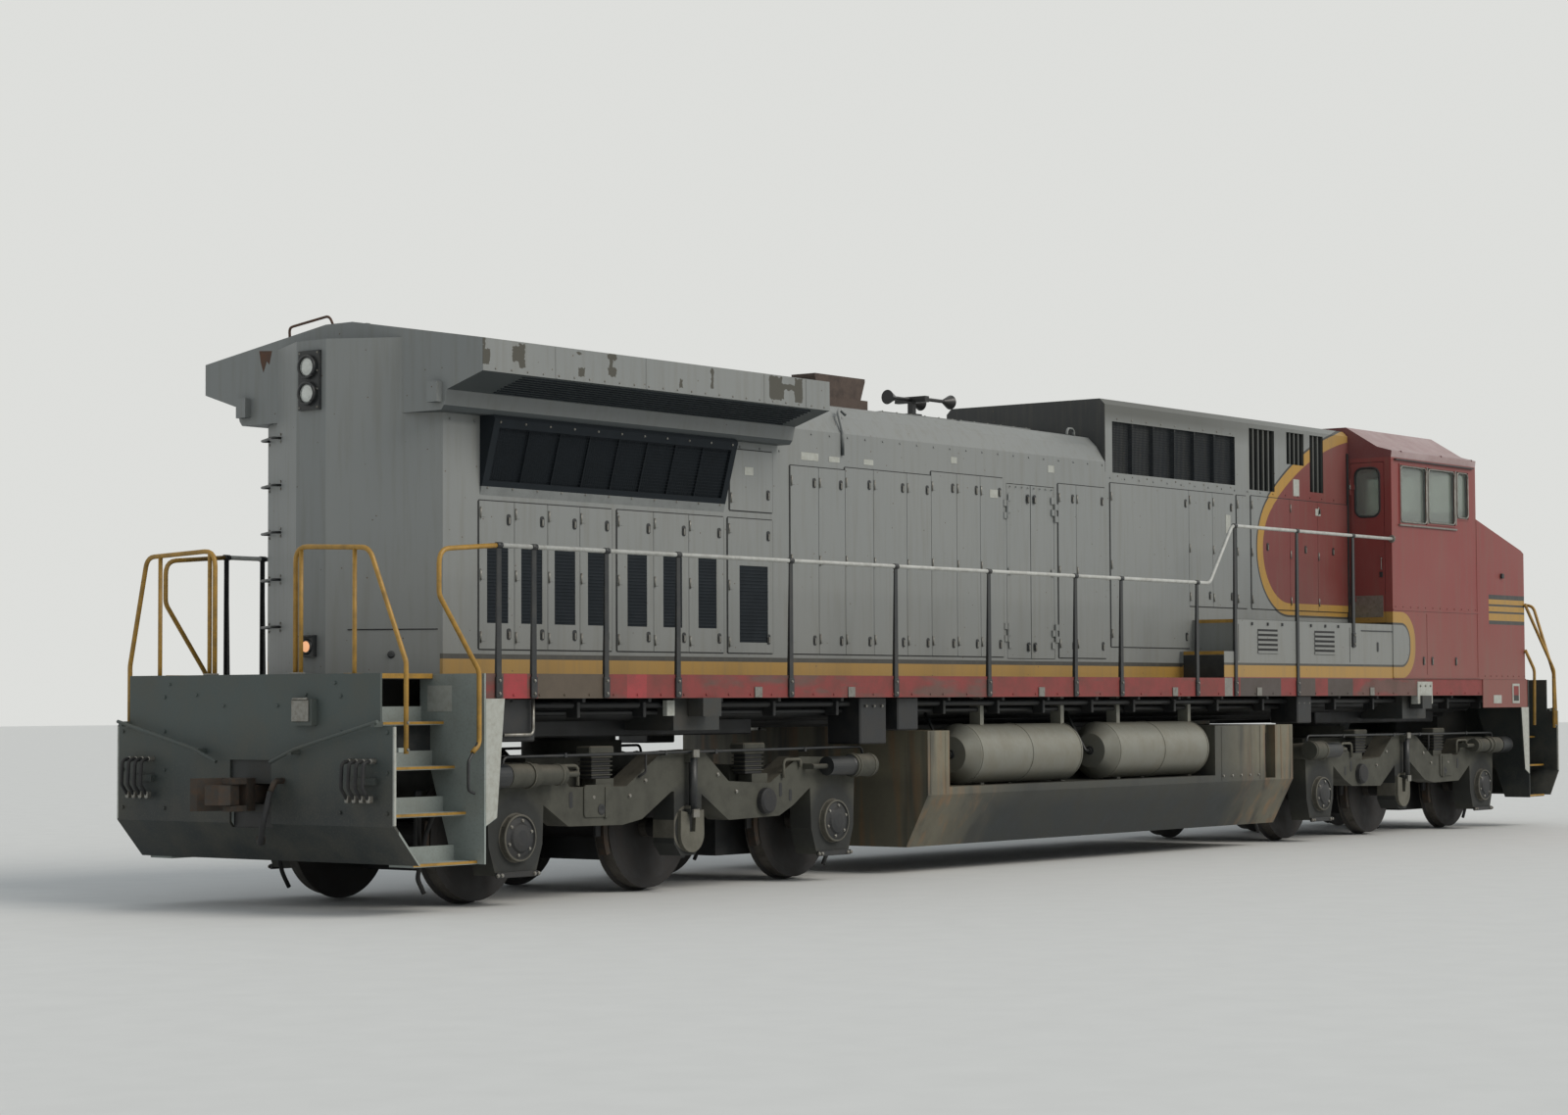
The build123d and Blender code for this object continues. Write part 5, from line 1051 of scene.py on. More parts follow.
class LOCO_OT_screens(bpy.types.Operator):
    """Weave the wire screens and fill the hood's vents with painted shade"""
    bl_idname = "loco.screens"
    bl_label = "Screens and vents"

    def execute(self, context):
        pitch = context.scene.loco_sizes.mesh_pitch
        wire = 0.0018
        for side, name in SIDES:
            work = Workpiece(side)
            wall = HOOD_HALF
            # Painted shade: each vent is filled with a dark sheet under dark louvre blades
            for rear, front, foot, head in VENTS:
                work.box((rear + 0.001, wall - 0.001, foot + 0.001),
                         (front - 0.001, wall + 0.0058, head - 0.001), MESH, 0.0005)
                count = 22
                for place in range(1, count):
                    z = foot + place * (head - foot) / count
                    work.plate([(wall + 0.005, z - 0.004), (wall + 0.0095, z - 0.009),
                                (wall + 0.0095, z - 0.007), (wall + 0.005, z + 0.003)], 0, rear + 0.002,
                               front - 0.002, MESH)
            work.made(f"door_vents_{name}", BODY, "screen_mesh")

            mesh = Workpiece(side)
            # The big side screen of the tall housing
            rear, front, foot, head = 0.65, 3.19, 3.9, 4.43
            y = wall - 0.004
            for place in range(1, int((front - rear) / pitch)):
                x = rear + place * pitch
                mesh.box((x - wire, y - wire, foot), (x + wire, y + wire, head), MESH, 0.0003)
            for place in range(1, int((head - foot) / pitch)):
                z = foot + place * pitch
                mesh.box((rear, y - wire, z - wire), (front, y + wire, z + wire), MESH, 0.0003)
            for z in (head + 0.03, foot - 0.03):
                mesh.bolts((rear + 0.1, wall, z), (front - 0.1, wall, z), 9, (0, 1, 0), 0.008)
            # The canted radiator screen: its wires lie on the leaning face
            low = Vector((0, HOOD_HALF, 3.205))
            high = Vector((0, HOOD_HALF + 0.166, 3.8))
            up = (high - low).normalized()
            out = Vector((0, up.z, -up.y))
            rear, front = -8.81 + 0.07, -5.74 - 0.07
            span = (high - low).length
            near, far = span * 0.2, span * 0.92
            base = low - out * 0.004
            for place in range(1, int((front - rear) / pitch)):
                x = Vector((rear + place * pitch, 0, 0))
                mesh.tube([base + up * near + x, base + up * far + x], wire, MESH, 4)
            for place in range(1, int((far - near) / pitch)):
                foot_up = base + up * (near + place * pitch)
                mesh.tube([foot_up + Vector((rear, 0, 0)), foot_up + Vector((front, 0, 0))], wire, MESH, 4)
            for reach in (0.1, 0.96):
                mesh.bolts(low + up * span * reach + Vector((rear, 0, 0)),
                           low + up * span * reach + Vector((front, 0, 0)), 11, out, 0.008)
            mesh.made(f"wire_screens_{name}", BODY, "screen_mesh")
        return {"FINISHED"}


class LOCO_OT_roof_fittings(bpy.types.Operator):
    """Fit the roof's hatches, lifting eyes, pipes and bolts"""
    bl_idname = "loco.roof_fittings"
    bl_label = "Roof fittings"

    def execute(self, context):
        work = Workpiece()
        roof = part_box("engine_hood")[1][2] - RAIL
        # Hatches on the hood roof between the shoulders: rear, front
        for rear, front in ((-4.7, -3.5), (-2.25, -0.95), (-0.9, 0.4)):
            work.box((rear, -0.15, roof - 0.001), (front, 0.15, roof + 0.012), ENAMEL, 0.003)
            for y in (-0.13, 0.13):
                work.bolts((rear + 0.05, y, roof + 0.012), (front - 0.05, y, roof + 0.012), 6, (0, 0, 1),
                           0.009)
        for x in (-4.6, 0.3):
            for work.side in (-1, 1):
                base = Vector((x, 0.7, 4.275))
                work.tube(bent([base + Vector((-0.07, 0, -0.03)), base + Vector((-0.06, 0, 0.07)),
                                base + Vector((0.06, 0, 0.07)), base + Vector((0.07, 0, -0.03))], 0.05),
                          0.014, ENAMEL, 8)
        # The hooked drain pipe on each shoulder of the hood
        for work.side in (-1, 1):
            route = [(-4.02, 0.996, 3.8), (-4.02, 0.996, 4.02), (-4.0, 0.93, 4.2), (-3.93, 0.9, 4.235),
                     (-3.88, 0.93, 4.18)]
            work.tube(bent(route, 0.05), 0.016, ENAMEL, 8)
        grid_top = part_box("grid_housing")[1][2] - RAIL
        for number in range(4):
            x = 0.75 + number * 1.27
            work.box((x, -0.8, grid_top - 0.001), (x + 1.17, 0.8, grid_top + 0.014), ENAMEL, 0.004)
            for y in (-0.77, 0.77):
                work.bolts((x + 0.05, y, grid_top + 0.014), (x + 1.12, y, grid_top + 0.014), 7, (0, 0, 1),
                           0.009)
        work.made("roof_hatches_and_pipes", BODY, "hood_paint")

        wings = Workpiece()
        low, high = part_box("radiator_wings")
        ridge = 4.587
        for number in range(7):
            x = low[0] + 0.25 + number * (high[0] - low[0] - 0.5) / 6
            wings.box((x - 0.02, -0.14, ridge - 0.001), (x + 0.02, 0.14, ridge + 0.008), ENAMEL, 0.002)
        for wings.side in (-1, 1):
            y = high[1]
            # Seams down the fascia, and the bolts along its foot
            for x in (-8.55, -7.45, -5.89, -5.3):
                wings.box((x - 0.012, y, 4.11), (x + 0.012, y + 0.003, 4.355), ENAMEL, 0.001)
            wings.bolts((-9.25, y, 4.13), (-5.05, y, 4.13), 24, (0, 1, 0), 0.007)
            # The dark grille under the overhang
            slope = Vector((0, high[1] - HOOD_HALF - 0.196, 0.121))
            for number in range(9):
                share = (number + 1) / 10
                start = Vector((0, HOOD_HALF + 0.196, 3.985)) + slope * share
                wings.box((-8.9, start.y - 0.004, start.z - 0.01), (-5.2, start.y + 0.004, start.z + 0.004),
                          MESH, 0.001)
        # Rust where the paint left the rear face; the same plate darkens the pocket below it as painted
        # shade
        rear_face = low[0] + 0.06
        wings.plate([(0.77, 4.42), (0.92, 4.43), (0.9, 4.33), (0.87, 4.25), (0.83, 4.34), (0.8, 4.31)], 0,
                    rear_face - 0.001, rear_face + 0.002, RUST)
        wings.made("wing_seams_and_bolts", BODY, "hood_paint")
        return {"FINISHED"}


class LOCO_OT_lamps(bpy.types.Operator):
    """Fit the lenses, bowls and rings of the lamps at both ends"""
    bl_idname = "loco.lamps"
    bl_label = "Lamps"

    def execute(self, context):
        def lens(work, centre, axis, radius, glass=GLASS):
            work.turned(centre, axis, [(-0.004, radius * 0.98), (0.004, radius * 0.98), (0.01, radius * 0.8),
                                       (0.015, radius * 0.45), (0.017, 0.0)], glass, 28)
            side = Vector(axis).orthogonal().normalized()
            for share in (0.86, 0.62, 0.38):
                work.tube(hoop(Vector(centre) + Vector(axis) * 0.012, side, Vector(axis).cross(side),
                               radius * share, 20), 0.0016, glass, 4)

        def ring(work, centre, axis, radius):
            side = Vector(axis).orthogonal().normalized()
            work.tube(hoop(centre, side, Vector(axis).cross(side), radius, 24), 0.011, BLACK, 8)

        rear = Workpiece()
        x = -9.693
        for height in (4.0, 4.21):
            lens(rear, (x - 0.04, 0, height), (-1, 0, 0), 0.078)
            ring(rear, (x - 0.055, 0, height), (-1, 0, 0), 0.086)
        for y in (-0.1, 0.1):
            rear.bolts((x - 0.03, y, 3.89), (x - 0.03, y, 4.32), 4, (-1, 0, 0), 0.007)
        lens(rear, (x - 0.047, 0, 2.01), (-1, 0, 0), 0.045, "amber_marker_lens")
        ring(rear, (x - 0.046, 0, 2.01), (-1, 0, 0), 0.052)
        rear.box((x - 0.045, -0.068, 2.085), (x - 0.095, 0.068, 2.095), BLACK)
        rear.made("rear_lamp_lenses", BODY, "lamp_lens")

        front = Workpiece()
        for side, _ in SIDES:
            lens(front, (CAB_FRONT + 0.056, side * 0.11, 4.505), (1, 0, 0), 0.084)
            ring(front, (CAB_FRONT + 0.056, side * 0.11, 4.505), (1, 0, 0), 0.092)
            lens(front, (10.221, side * 0.8, 1.92), (1, 0, 0), 0.084)
            ring(front, (10.221, side * 0.8, 1.92), (1, 0, 0), 0.092)
            front.box((CAB_FRONT + 0.039, side * 0.35, 4.41), (CAB_FRONT + 0.043, side * 0.88, 4.57), PLATE,
                      0.001)
            front.bolts((CAB_FRONT + 0.04, side * 0.34, 4.58), (CAB_FRONT + 0.04, side * 0.89, 4.58), 4,
                        (1, 0, 0), 0.006)
        front.made("front_lamp_lenses", BODY, "lamp_lens")
        return {"FINISHED"}


# The cab's side windows: rear, front, foot and head, above the rail
SIDE_WINDOWS = ((6.04, 6.72, 3.59, 4.26), (6.755, 7.47, 3.61, 4.26), (7.515, 7.83, 3.7, 4.26))
# The windshields: inner and outer place across
WINDSHIELDS = ((0.09, 0.76), (0.83, 1.44))


class LOCO_OT_cab_fittings(bpy.types.Operator):
    """Fit the cab's window seals, wipers, seams, latches and rain strips"""
    bl_idname = "loco.cab_fittings"
    bl_label = "Cab fittings"

    def execute(self, context):
        for side, name in SIDES:
            work = Workpiece(side)
            y = CAB_HALF + 0.009

            def sill_line(low, high, finish_name=ENAMEL, proud=0.006):
                work.box((low[0], CAB_HALF, low[1]), (high[0], CAB_HALF + proud, high[1]), finish_name,
                         0.002)

            for rear, front, foot, head in SIDE_WINDOWS:
                ring = rounded_outline((rear + 0.012, foot + 0.012), (front - 0.012, head - 0.012), 0.05)
                route = [(x, y, z) for x, z in ring] + [(ring[0][0], y, ring[0][1])]
                work.tube(route, 0.009, ZINC, 6)
            # The sliding pane's bright channel, the arm rest and the sun shade's rail
            work.box((6.725, 1.515, 3.6), (6.75, CAB_HALF + 0.012, 4.27), ZINC, 0.003)
            work.box((7.478, 1.515, 3.62), (7.508, CAB_HALF + 0.012, 4.27), ZINC, 0.003)
            sill_line((6.0, 3.555), (7.5, 3.575), ZINC, 0.022)
            sill_line((5.9, 4.31), (7.95, 4.325), BLACK, 0.03)
            # Panel seams and their cover strips
            sill_line((5.835, 2.575), (8.09, 2.595))
            sill_line((6.69, 1.84), (6.704, 2.55), ENAMEL, 0.004)
            sill_line((5.835, 1.8), (8.09, 1.812))
            sill_line((8.045, 1.82), (8.06, 3.7), ENAMEL, 0.004)
            for x in (6.6, 6.82, 7.45):
                work.plate(rounded_outline((x - 0.022, 1.95), (x + 0.022, 2.05), 0.02), 1, CAB_HALF,
                           CAB_HALF + 0.006, BLACK)
                work.box((x - 0.008, CAB_HALF + 0.004, 1.965), (x + 0.008, CAB_HALF + 0.016, 2.025), ZINC)
            work.bolts((5.9, CAB_HALF, 2.62), (8.0, CAB_HALF, 2.62), 12, (0, 1, 0), 0.007, ENAMEL)
            work.box((8.7, CAB_HALF, 3.02), (8.76, CAB_HALF + 0.03, 3.08), BLACK, 0.006)
            # Wipers on the windshields, parked upright
            for inner, outer in WINDSHIELDS:
                middle = (inner + outer) / 2
                pivot = Vector((CAB_FRONT + 0.02, middle, 3.78))
                work.turned(pivot - Vector((0.02, 0, 0)), (1, 0, 0),
                            [(0, 0.022), (0.03, 0.022), (0.034, 0.012)], BLACK, 12)
                work.tube([pivot + Vector((0.012, 0, 0)), pivot + Vector((0.03, 0.05, 0.28))], 0.006, BLACK,
                          6)
                work.box(pivot + Vector((0.004, 0.04, 0.1)), pivot + Vector((0.024, 0.056, 0.42)), RUBBER,
                         0.002)
                x = CAB_FRONT - 0.015
                low, high = sorted((side * inner, side * outer))
                ring = [(x, side * a, b) for a, b in rounded_outline((low + 0.009, 3.809),
                                                                     (high - 0.009, 4.261), 0.04)]
                work.tube(ring + ring[:1], 0.01, RUBBER, 6)
            # Ribs of the cab's roof edge, which overhangs the side
            for x in (6.072, 7.113, 7.929):
                work.box((x - 0.006, 1.5, 4.405), (x + 0.006, 1.548, 4.425), "chalked_roof_enamel", 0.002)
            work.made(f"cab_fittings_{name}", BODY, "cab_paint")

            door = Workpiece(side)
            hinge_x, hinge_y, foot = joints[f"cab_door_{name}_hinge"]["pos_m"]
            back, face = hinge_x + 0.013, hinge_x + 0.043
            hinge_y, foot = abs(hinge_y), foot - RAIL
            near, far = hinge_y + 0.006, hinge_y + 0.424
            outer, inner = ([(side * a, b) for a, b in rounded_outline(
                (min(side * (near + inset), side * (far - inset)), low),
                (max(side * (near + inset), side * (far - inset)), high), corner)]
                for inset, low, high, corner in ((0, 3.6, foot + 1.854, 0.002), (0.054, 3.66, 4.225, 0.09)))
            door.ring_plate(outer, inner, 0, back, face, ENAMEL)
            door.box((back, near, foot + 0.006), (face, far, 3.6), ENAMEL, 0.001)
            route = [(back + 0.001, a, b) for a, b in inner]
            door.tube(route + route[:1], 0.013, RUBBER, 8)
            door.plate(inner, 0, back + 0.01, back + 0.016, "tinted_window_glass")
            for share in (0.15, 0.85):
                middle = foot + share * 1.86
                door.tube([(hinge_x, hinge_y, middle - 0.03), (hinge_x, hinge_y, middle + 0.03)], 0.011,
                          ZINC, 10)
                door.box((hinge_x, hinge_y, middle - 0.029), (back + 0.001, hinge_y + 0.06, middle + 0.029),
                         ENAMEL, 0.001)
            handle_y = 1.4
            door.tube(bent([(back, handle_y, 3.05), (back - 0.02, handle_y, 3.05),
                            (back - 0.02, handle_y, 3.18), (back, handle_y, 3.18)], 0.01), 0.006, ZINC, 8)
            door.box((back - 0.012, 1.37, 2.96), (back + 0.001, 1.41, 3.02), BLACK, 0.004)
            door.box((back - 0.003, 1.04, 2.5), (back + 0.001, 1.41, 2.75), ZINC, 0.001)
            door.made(f"cab_door_leaf_{name}", f"cab_door_{name}", "cab_paint", (f"cab_door_{name}",))
        return {"FINISHED"}


class LOCO_OT_bogie_fittings(bpy.types.Operator):
    """Fit both bogies: axle caps, pipes, rubber mounts, brake shoes and bolts"""
    bl_idname = "loco.bogie_fittings"
    bl_label = "Bogie fittings"

    def execute(self, context):
        frame_outer = 1.25
        hub = AXLE_HEIGHT - RAIL
        for end, name in ENDS:
            centre = end * BOGIE_X
            body = f"bogie_{name}"
            axles = AXLES[:3] if end == -1 else AXLES[3:]
            for side, side_name in SIDES:
                work = Workpiece(side, -end, centre)
                out = (0, 1, 0)
                for along in (2.07, -2.07):
                    cap = Vector((along, 1.29, 0.508))
                    work.turned(cap, out, [(-0.002, 0.185), (0.012, 0.185), (0.016, 0.178), (0.016, 0.166),
                                           (0.006, 0.16)], CAST, 32)
                    work.turned(cap, out, [(-0.002, 0.16), (0.006, 0.16), (0.014, 0.12), (0.03, 0.105),
                                           (0.038, 0.06), (0.04, 0.0)], GREASE, 24)
                    for turn in range(6):
                        angle = math.radians(60 * turn + 20)
                        work.bolt(cap + Vector((0.136 * work.way * math.cos(angle), 0.01,
                                                0.136 * math.sin(angle))), out, 0.013)
                    # The keeper under the axle box, and the liners beside it
                    work.box((along - 0.24, frame_outer, 0.2), (along + 0.24, frame_outer + 0.03, 0.245),
                             GREASE, 0.008)
                    for across in (-0.235, 0.235):
                        work.bolts((along + across, frame_outer + 0.03, 0.222),
                                   (along + across * 0.8, frame_outer + 0.03, 0.222), 2, out, 0.014)
                # The middle axle box carries a U-shaped cover with a slot
                middle = work.way * (axles[1] - centre) + 0.02
                angles = [math.radians(angle) for angle in range(180, 361, 15)]
                cover = [(middle + 0.155 * math.cos(angle),
                          hub - 0.045 + 0.155 * math.sin(angle)) for angle in angles]
                for across, height in ((0.15, 0.66), (0.045, 0.64), (0.035, 0.48), (-0.035, 0.48),
                                       (-0.045, 0.64), (-0.15, 0.66)):
                    cover.append((middle + across, height))
                work.plate(cover, 1, frame_outer, frame_outer + 0.035, BARE)
                # Brake pipes along the frame, clipped to it, and their drops to the cylinders
                pipe = [(-2.273, 1.3, 1.02), (-2.273, 1.3, 1.14), (2.441, 1.3, 1.157), (2.47, 1.3, 1.05)]
                work.tube(bent(pipe, 0.06), 0.013, BLACK, 8)
                for along in (-1.55, -0.3, 0.36, 1.6):
                    work.box((along - 0.015, frame_outer - 0.01, 1.125), (along + 0.015, 1.318, 1.165),
                             BLACK, 0.004)
                work.tube(bent([(-0.55, 1.3, 1.145), (-0.55, 1.3, 0.99), (-0.6, 1.262, 0.95)], 0.03), 0.01,
                          RUBBER, 8)
                # Loops that guard the push rods of the brake cylinders
                for near, far in ((-1.36, -1.62), (1.34, 1.58)):
                    work.tube(bent([(near, 1.27, 0.9), (near, 1.27, 1.06), (far, 1.27, 1.06),
                                    (far, 1.27, 0.99)], 0.05), 0.014, BARE, 8)
                # Rubber and steel sandwich mounts that carry the body
                for along in (-1.0, 1.0):
                    for layer in range(5):
                        foot = 0.945 + layer * 0.036
                        work.box((along - 0.115, 1.075, foot), (along + 0.115, 1.205, foot + 0.026), RUBBER,
                                 0.008)
                        work.box((along - 0.13, 1.065, foot + 0.026), (along + 0.13, 1.215, foot + 0.036),
                                 CAST, 0.002)
                    work.box((along - 0.15, 1.06, 1.125), (along + 0.15, 1.22, 1.21), CAST, 0.012)
                # The square boss with its round hole
                work.plate(rounded_outline((-1.27, 0.64), (-0.93, 0.9), 0.03), 1, frame_outer - 0.001,
                           frame_outer + 0.012, CAST)
                work.turned((-1.06, frame_outer + 0.012, 0.7), out,
                            [(-0.01, 0.045), (0.004, 0.045), (0.006, 0.03), (0.001, 0.0)], GREASE, 18)
                work.box((-1.02, frame_outer + 0.01, 0.63), (-0.98, frame_outer + 0.02, 0.88), CAST, 0.006)
                # The round stop, the slots and the bosses cast in the frame
                work.turned((1.1, frame_outer, 0.71), out, [(-0.01, 0.115), (0.045, 0.11), (0.06, 0.09),
                                                            (0.062, 0.0)], RUBBER, 24)
                for along, low, high in ((-1.42, 0.72, 0.85), (1.32, 0.74, 0.86), (1.46, 0.7, 0.8)):
                    work.plate(rounded_outline((along - 0.02, low), (along + 0.02, high), 0.018), 1,
                               frame_outer - 0.002, frame_outer + 0.003, GREASE)
                for along, height in ((-1.15, 0.8), (-0.7, 0.8), (0.7, 0.8), (-0.5, 0.92), (0.45, 0.95)):
                    work.bolt((along, frame_outer, height), out, 0.016)
                # Damper: bright caps and the pins of its eyes
                damper = 0.05
                for foot, head in ((0.6, 0.67), (1.1, 1.167)):
                    work.box((damper - 0.04, frame_outer + 0.08, foot),
                             (damper + 0.04, frame_outer + 0.102, head), ZINC, 0.004)
                work.tube([(damper, 1.31, 0.675), (damper, 1.31, 1.095)], 0.037, BLACK, 16)
                # Brake cylinders: a dark head on one and a dark drum on the other, with bands
                work.turned((-2.302, 1.353, 0.995), (-1, 0, 0), [(-0.002, 0.06), (0.01, 0.066),
                                                                 (0.012, 0.0975), (0.262, 0.0975),
                                                                 (0.263, 0.09)], BLACK, 24)
                work.turned((1.848, 1.353, 0.995), (1, 0, 0), [(0.0, 0.05), (0.002, 0.084), (0.33, 0.084),
                                                               (0.35, 0.09)], BLACK, 24)
                for near, radius in ((-1.7, 0.083), (-2.05, 0.101), (2.24, 0.104), (2.46, 0.103)):
                    work.tube(hoop((near, 1.353, 0.995), (0, side, 0), (0, 0, 1), radius, 16), 0.007, BARE,
                              6)
                # Sand pipes end just over the rail ahead of the outer wheels
                for along, lean in ((2.07, 0.6), (-2.07, -0.6)):
                    route = [(along + lean * 0.5, 1.06, 0.9), (along + lean, 1.04, 0.9),
                             (along + lean, 0.86, 0.55), (along + lean * 0.98, 0.755, 0.2),
                             (along + lean * 0.86, 0.755, 0.085)]
                    work.tube(bent(route, 0.12), 0.019, RUBBER, 8)
                # Brake shoes hang clear of each tread
                for axle in axles:
                    x = work.way * (axle - centre)
                    for way in (-1, 1):
                        arc = [math.radians(angle) for angle in range(-22, 15, 6)]
                        inner = [(x + way * 0.52 * math.cos(angle),
                                  hub + 0.52 * math.sin(angle)) for angle in arc]
                        outer = [(x + way * 0.575 * math.cos(angle),
                                  hub + 0.575 * math.sin(angle)) for angle in arc]
                        work.plate(inner + outer[::-1], 1, 0.735, 0.815, IRON)
                        work.box((x + way * 0.575, 0.755, hub - 0.06), (x + way * 0.64, 0.795, hub + 0.38),
                                 GREASE, 0.01)
                work.made(f"bogie_fittings_{name}_{side_name}", body, "bogie_steel")
        return {"FINISHED"}


class LOCO_OT_tank_fittings(bpy.types.Operator):
    """Fit the reservoirs' seams and pipes, and the tank's gauge, bolts and seams"""
    bl_idname = "loco.tank_fittings"
    bl_label = "Tank and reservoir fittings"

    def execute(self, context):
        for side, name in SIDES:
            work = Workpiece(side)
            y, z = 1.18, 1.06
            low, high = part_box("air_reservoirs")
            gap = 0.47
            length = (high[0] - low[0] - gap) / 2
            for rear in (low[0], low[0] + length + gap):
                for x in (rear + 0.13, rear + length - 0.13, rear + length / 2):
                    work.tube(hoop((x, y, z), (0, side, 0), (0, 0, 1), 0.2825, 40), 0.006,
                              "silver_tank_enamel", 6)
                for x, way in ((rear, -1), (rear + length, 1)):
                    work.turned((x - way * 0.01, y, z), (way, 0, 0),
                                [(0, 0.045), (0.03, 0.045), (0.03, 0.03), (0.05, 0.03)], BLACK, 8)
                work.tube(bent([(rear - 0.03, y, z), (rear - 0.09, y, z), (rear - 0.09, y - 0.15, z + 0.25),
                                (rear - 0.09, 0.92, z + 0.45)], 0.06), 0.016, BLACK, 8)
                work.turned((rear + length / 2, y, z - 0.28), (0, 0, -1),
                            [(-0.01, 0.022), (0.03, 0.022), (0.035, 0.012), (0.06, 0.012)], ZINC, 8)
            # Fuel gauge, the cleaning cover's bolts and the seams of the tank's plates
            face = 1.45
            work.box((2.99, 1.34, 0.78), (3.15, 1.352, 1.2), BLACK, 0.004)
            work.bolts((2.05, face, 0.76), (2.8, face, 0.76), 5, (0, 1, 0), 0.013)
            for x in (-3.3, -3.06, 2.02, 2.84, 3.3, 3.5):
                work.box((x - 0.006, face, 0.71), (x + 0.006, face + 0.003, 1.28), "fuel_stained_enamel",
                         0.001)
            work.made(f"tank_fittings_{name}", BODY, "tank_paint")
        return {"FINISHED"}


class LOCO_OT_end_fittings(bpy.types.Operator):
    """Fit the hoses, taps, step edges and painted strips at both ends"""
    bl_idname = "loco.end_fittings"
    bl_label = "Hoses and step edges"

    def execute(self, context):
        for end, name in ENDS:
            work = Workpiece(way=end)
            plate = END_PLATE
            # The coupler's carrier closes the pilot's mouth below the shank
            work.box((plate - 0.052, -0.228, 0.605), (plate - 0.04, 0.228, 0.745), GREASE, 0.002)
            for work.side in (-1, 1):
                # Four short hoses, each stowed from its tap down to its dummy coupling
                for number in range(4):
                    y = 1.115 + number * 0.075
                    tap = Vector((plate + 0.03, y, 1.135))
                    work.turned(tap - Vector((0.03, 0, 0)), (1, 0, 0),
                                [(0, 0.02), (0.05, 0.02), (0.055, 0.013)], ZINC, 8)
                    work.tube(bent([tap + Vector((0.02, 0, 0)), tap + Vector((0.09, 0, -0.01)),
                                    tap + Vector((0.1, 0, -0.2)), tap + Vector((0.035, 0, -0.285))], 0.05),
                              0.014, RUBBER, 8)
                    work.box(tap + Vector((0, -0.018, -0.31)), tap + Vector((0.05, 0.018, -0.255)), ZINC,
                             0.008)
                # Treads: yellow nosings, and the strip on the platform's edge
                deepest = 9.351 if end == -1 else 9.456
                for place, height in enumerate(TREADS):
                    y = 1.46 - place * 0.117
                    reach = 10.3 if height > 0.65 else 10.04
                    work.box((deepest, y - 0.016, height), (reach, y + 0.004, height + 0.004), YELLOW,
                             0.001)
                    work.box((deepest, y, height - 0.016), (reach, y + 0.004, height + 0.002), YELLOW,
                             0.001)
                    for row in range(5):
                        inner = y - 0.06 - row * 0.036
                        work.box((deepest + 0.03, inner - 0.006, height),
                                 (reach - 0.03, inner + 0.006, height + 0.004), STEP, 0.001)
                work.box((deepest, 0.985, DECK - 0.035), (10.3, 0.995, DECK + 0.003), YELLOW, 0.001)
                work.box((deepest, 0.965, 1.19), (10.3, 0.969, 1.398), BLACK, 0.001)
                # The gusset beside the stair is painted white, and so is the pilot's edge
                x = 9.335 if end == -1 else 9.44
                foot = 1.597 if end == -1 else 1.45
                work.plate([(x, foot), (x - 0.208, foot), (x - 0.121, 0.69), (x, 0.632)], 1, 1.54, 1.543,
                           PLATE)
                work.box((plate + 0.001, 1.525, 0.66), (plate - 0.021, 1.542, 1.39), PLATE, 0.001)
                # Blank plate on the stair's side plate
                work.box((x + 0.017, 0.94, 1.5), (x + 0.019, 1.2, 1.7), PLATE, 0.001)
                for y, z in ((1.47, 0.75), (0.98, 0.75), (1.47, 1.05), (0.98, 1.05), (1.47, 1.35),
                             (0.98, 1.35), (0.98, 1.62)):
                    work.bolt((plate, y, z), (1, 0, 0), 0.014, STEP)
                work.bolts((plate, 0.3, 1.55), (plate, 0.92, 1.72), 3, (1, 0, 0), 0.012, STEP)
            # The jumper receptacle: a hinged lid and its spring
            work.side = end
            y = 0.615
            work.box((plate + 0.06, y - 0.09, 1.43), (plate + 0.075, y + 0.09, 1.59), ZINC, 0.008)
            work.tube([(plate + 0.07, y - 0.08, 1.6), (plate + 0.07, y + 0.08, 1.6)], 0.01, ZINC, 8)
            # The train pipe beside the coupler, with its angle tap and stowed hose
            y = 0.36
            work.tube(bent([(plate - 0.05, y, 0.98), (plate + 0.08, y, 0.98), (plate + 0.13, y, 0.9)], 0.04),
                      0.024, IRON, 10)
            work.tube(bent([(plate + 0.13, y, 0.9), (plate + 0.2, y, 0.68), (plate + 0.14, y - 0.1, 0.5),
                            (plate + 0.05, y - 0.2, 0.52)], 0.14), 0.024, RUBBER, 10)
            work.box((plate, y - 0.24, 0.49), (plate + 0.06, y - 0.18, 0.56), IRON, 0.012)
            work.made(f"end_fittings_{name}", BODY, "step_paint")
        return {"FINISHED"}


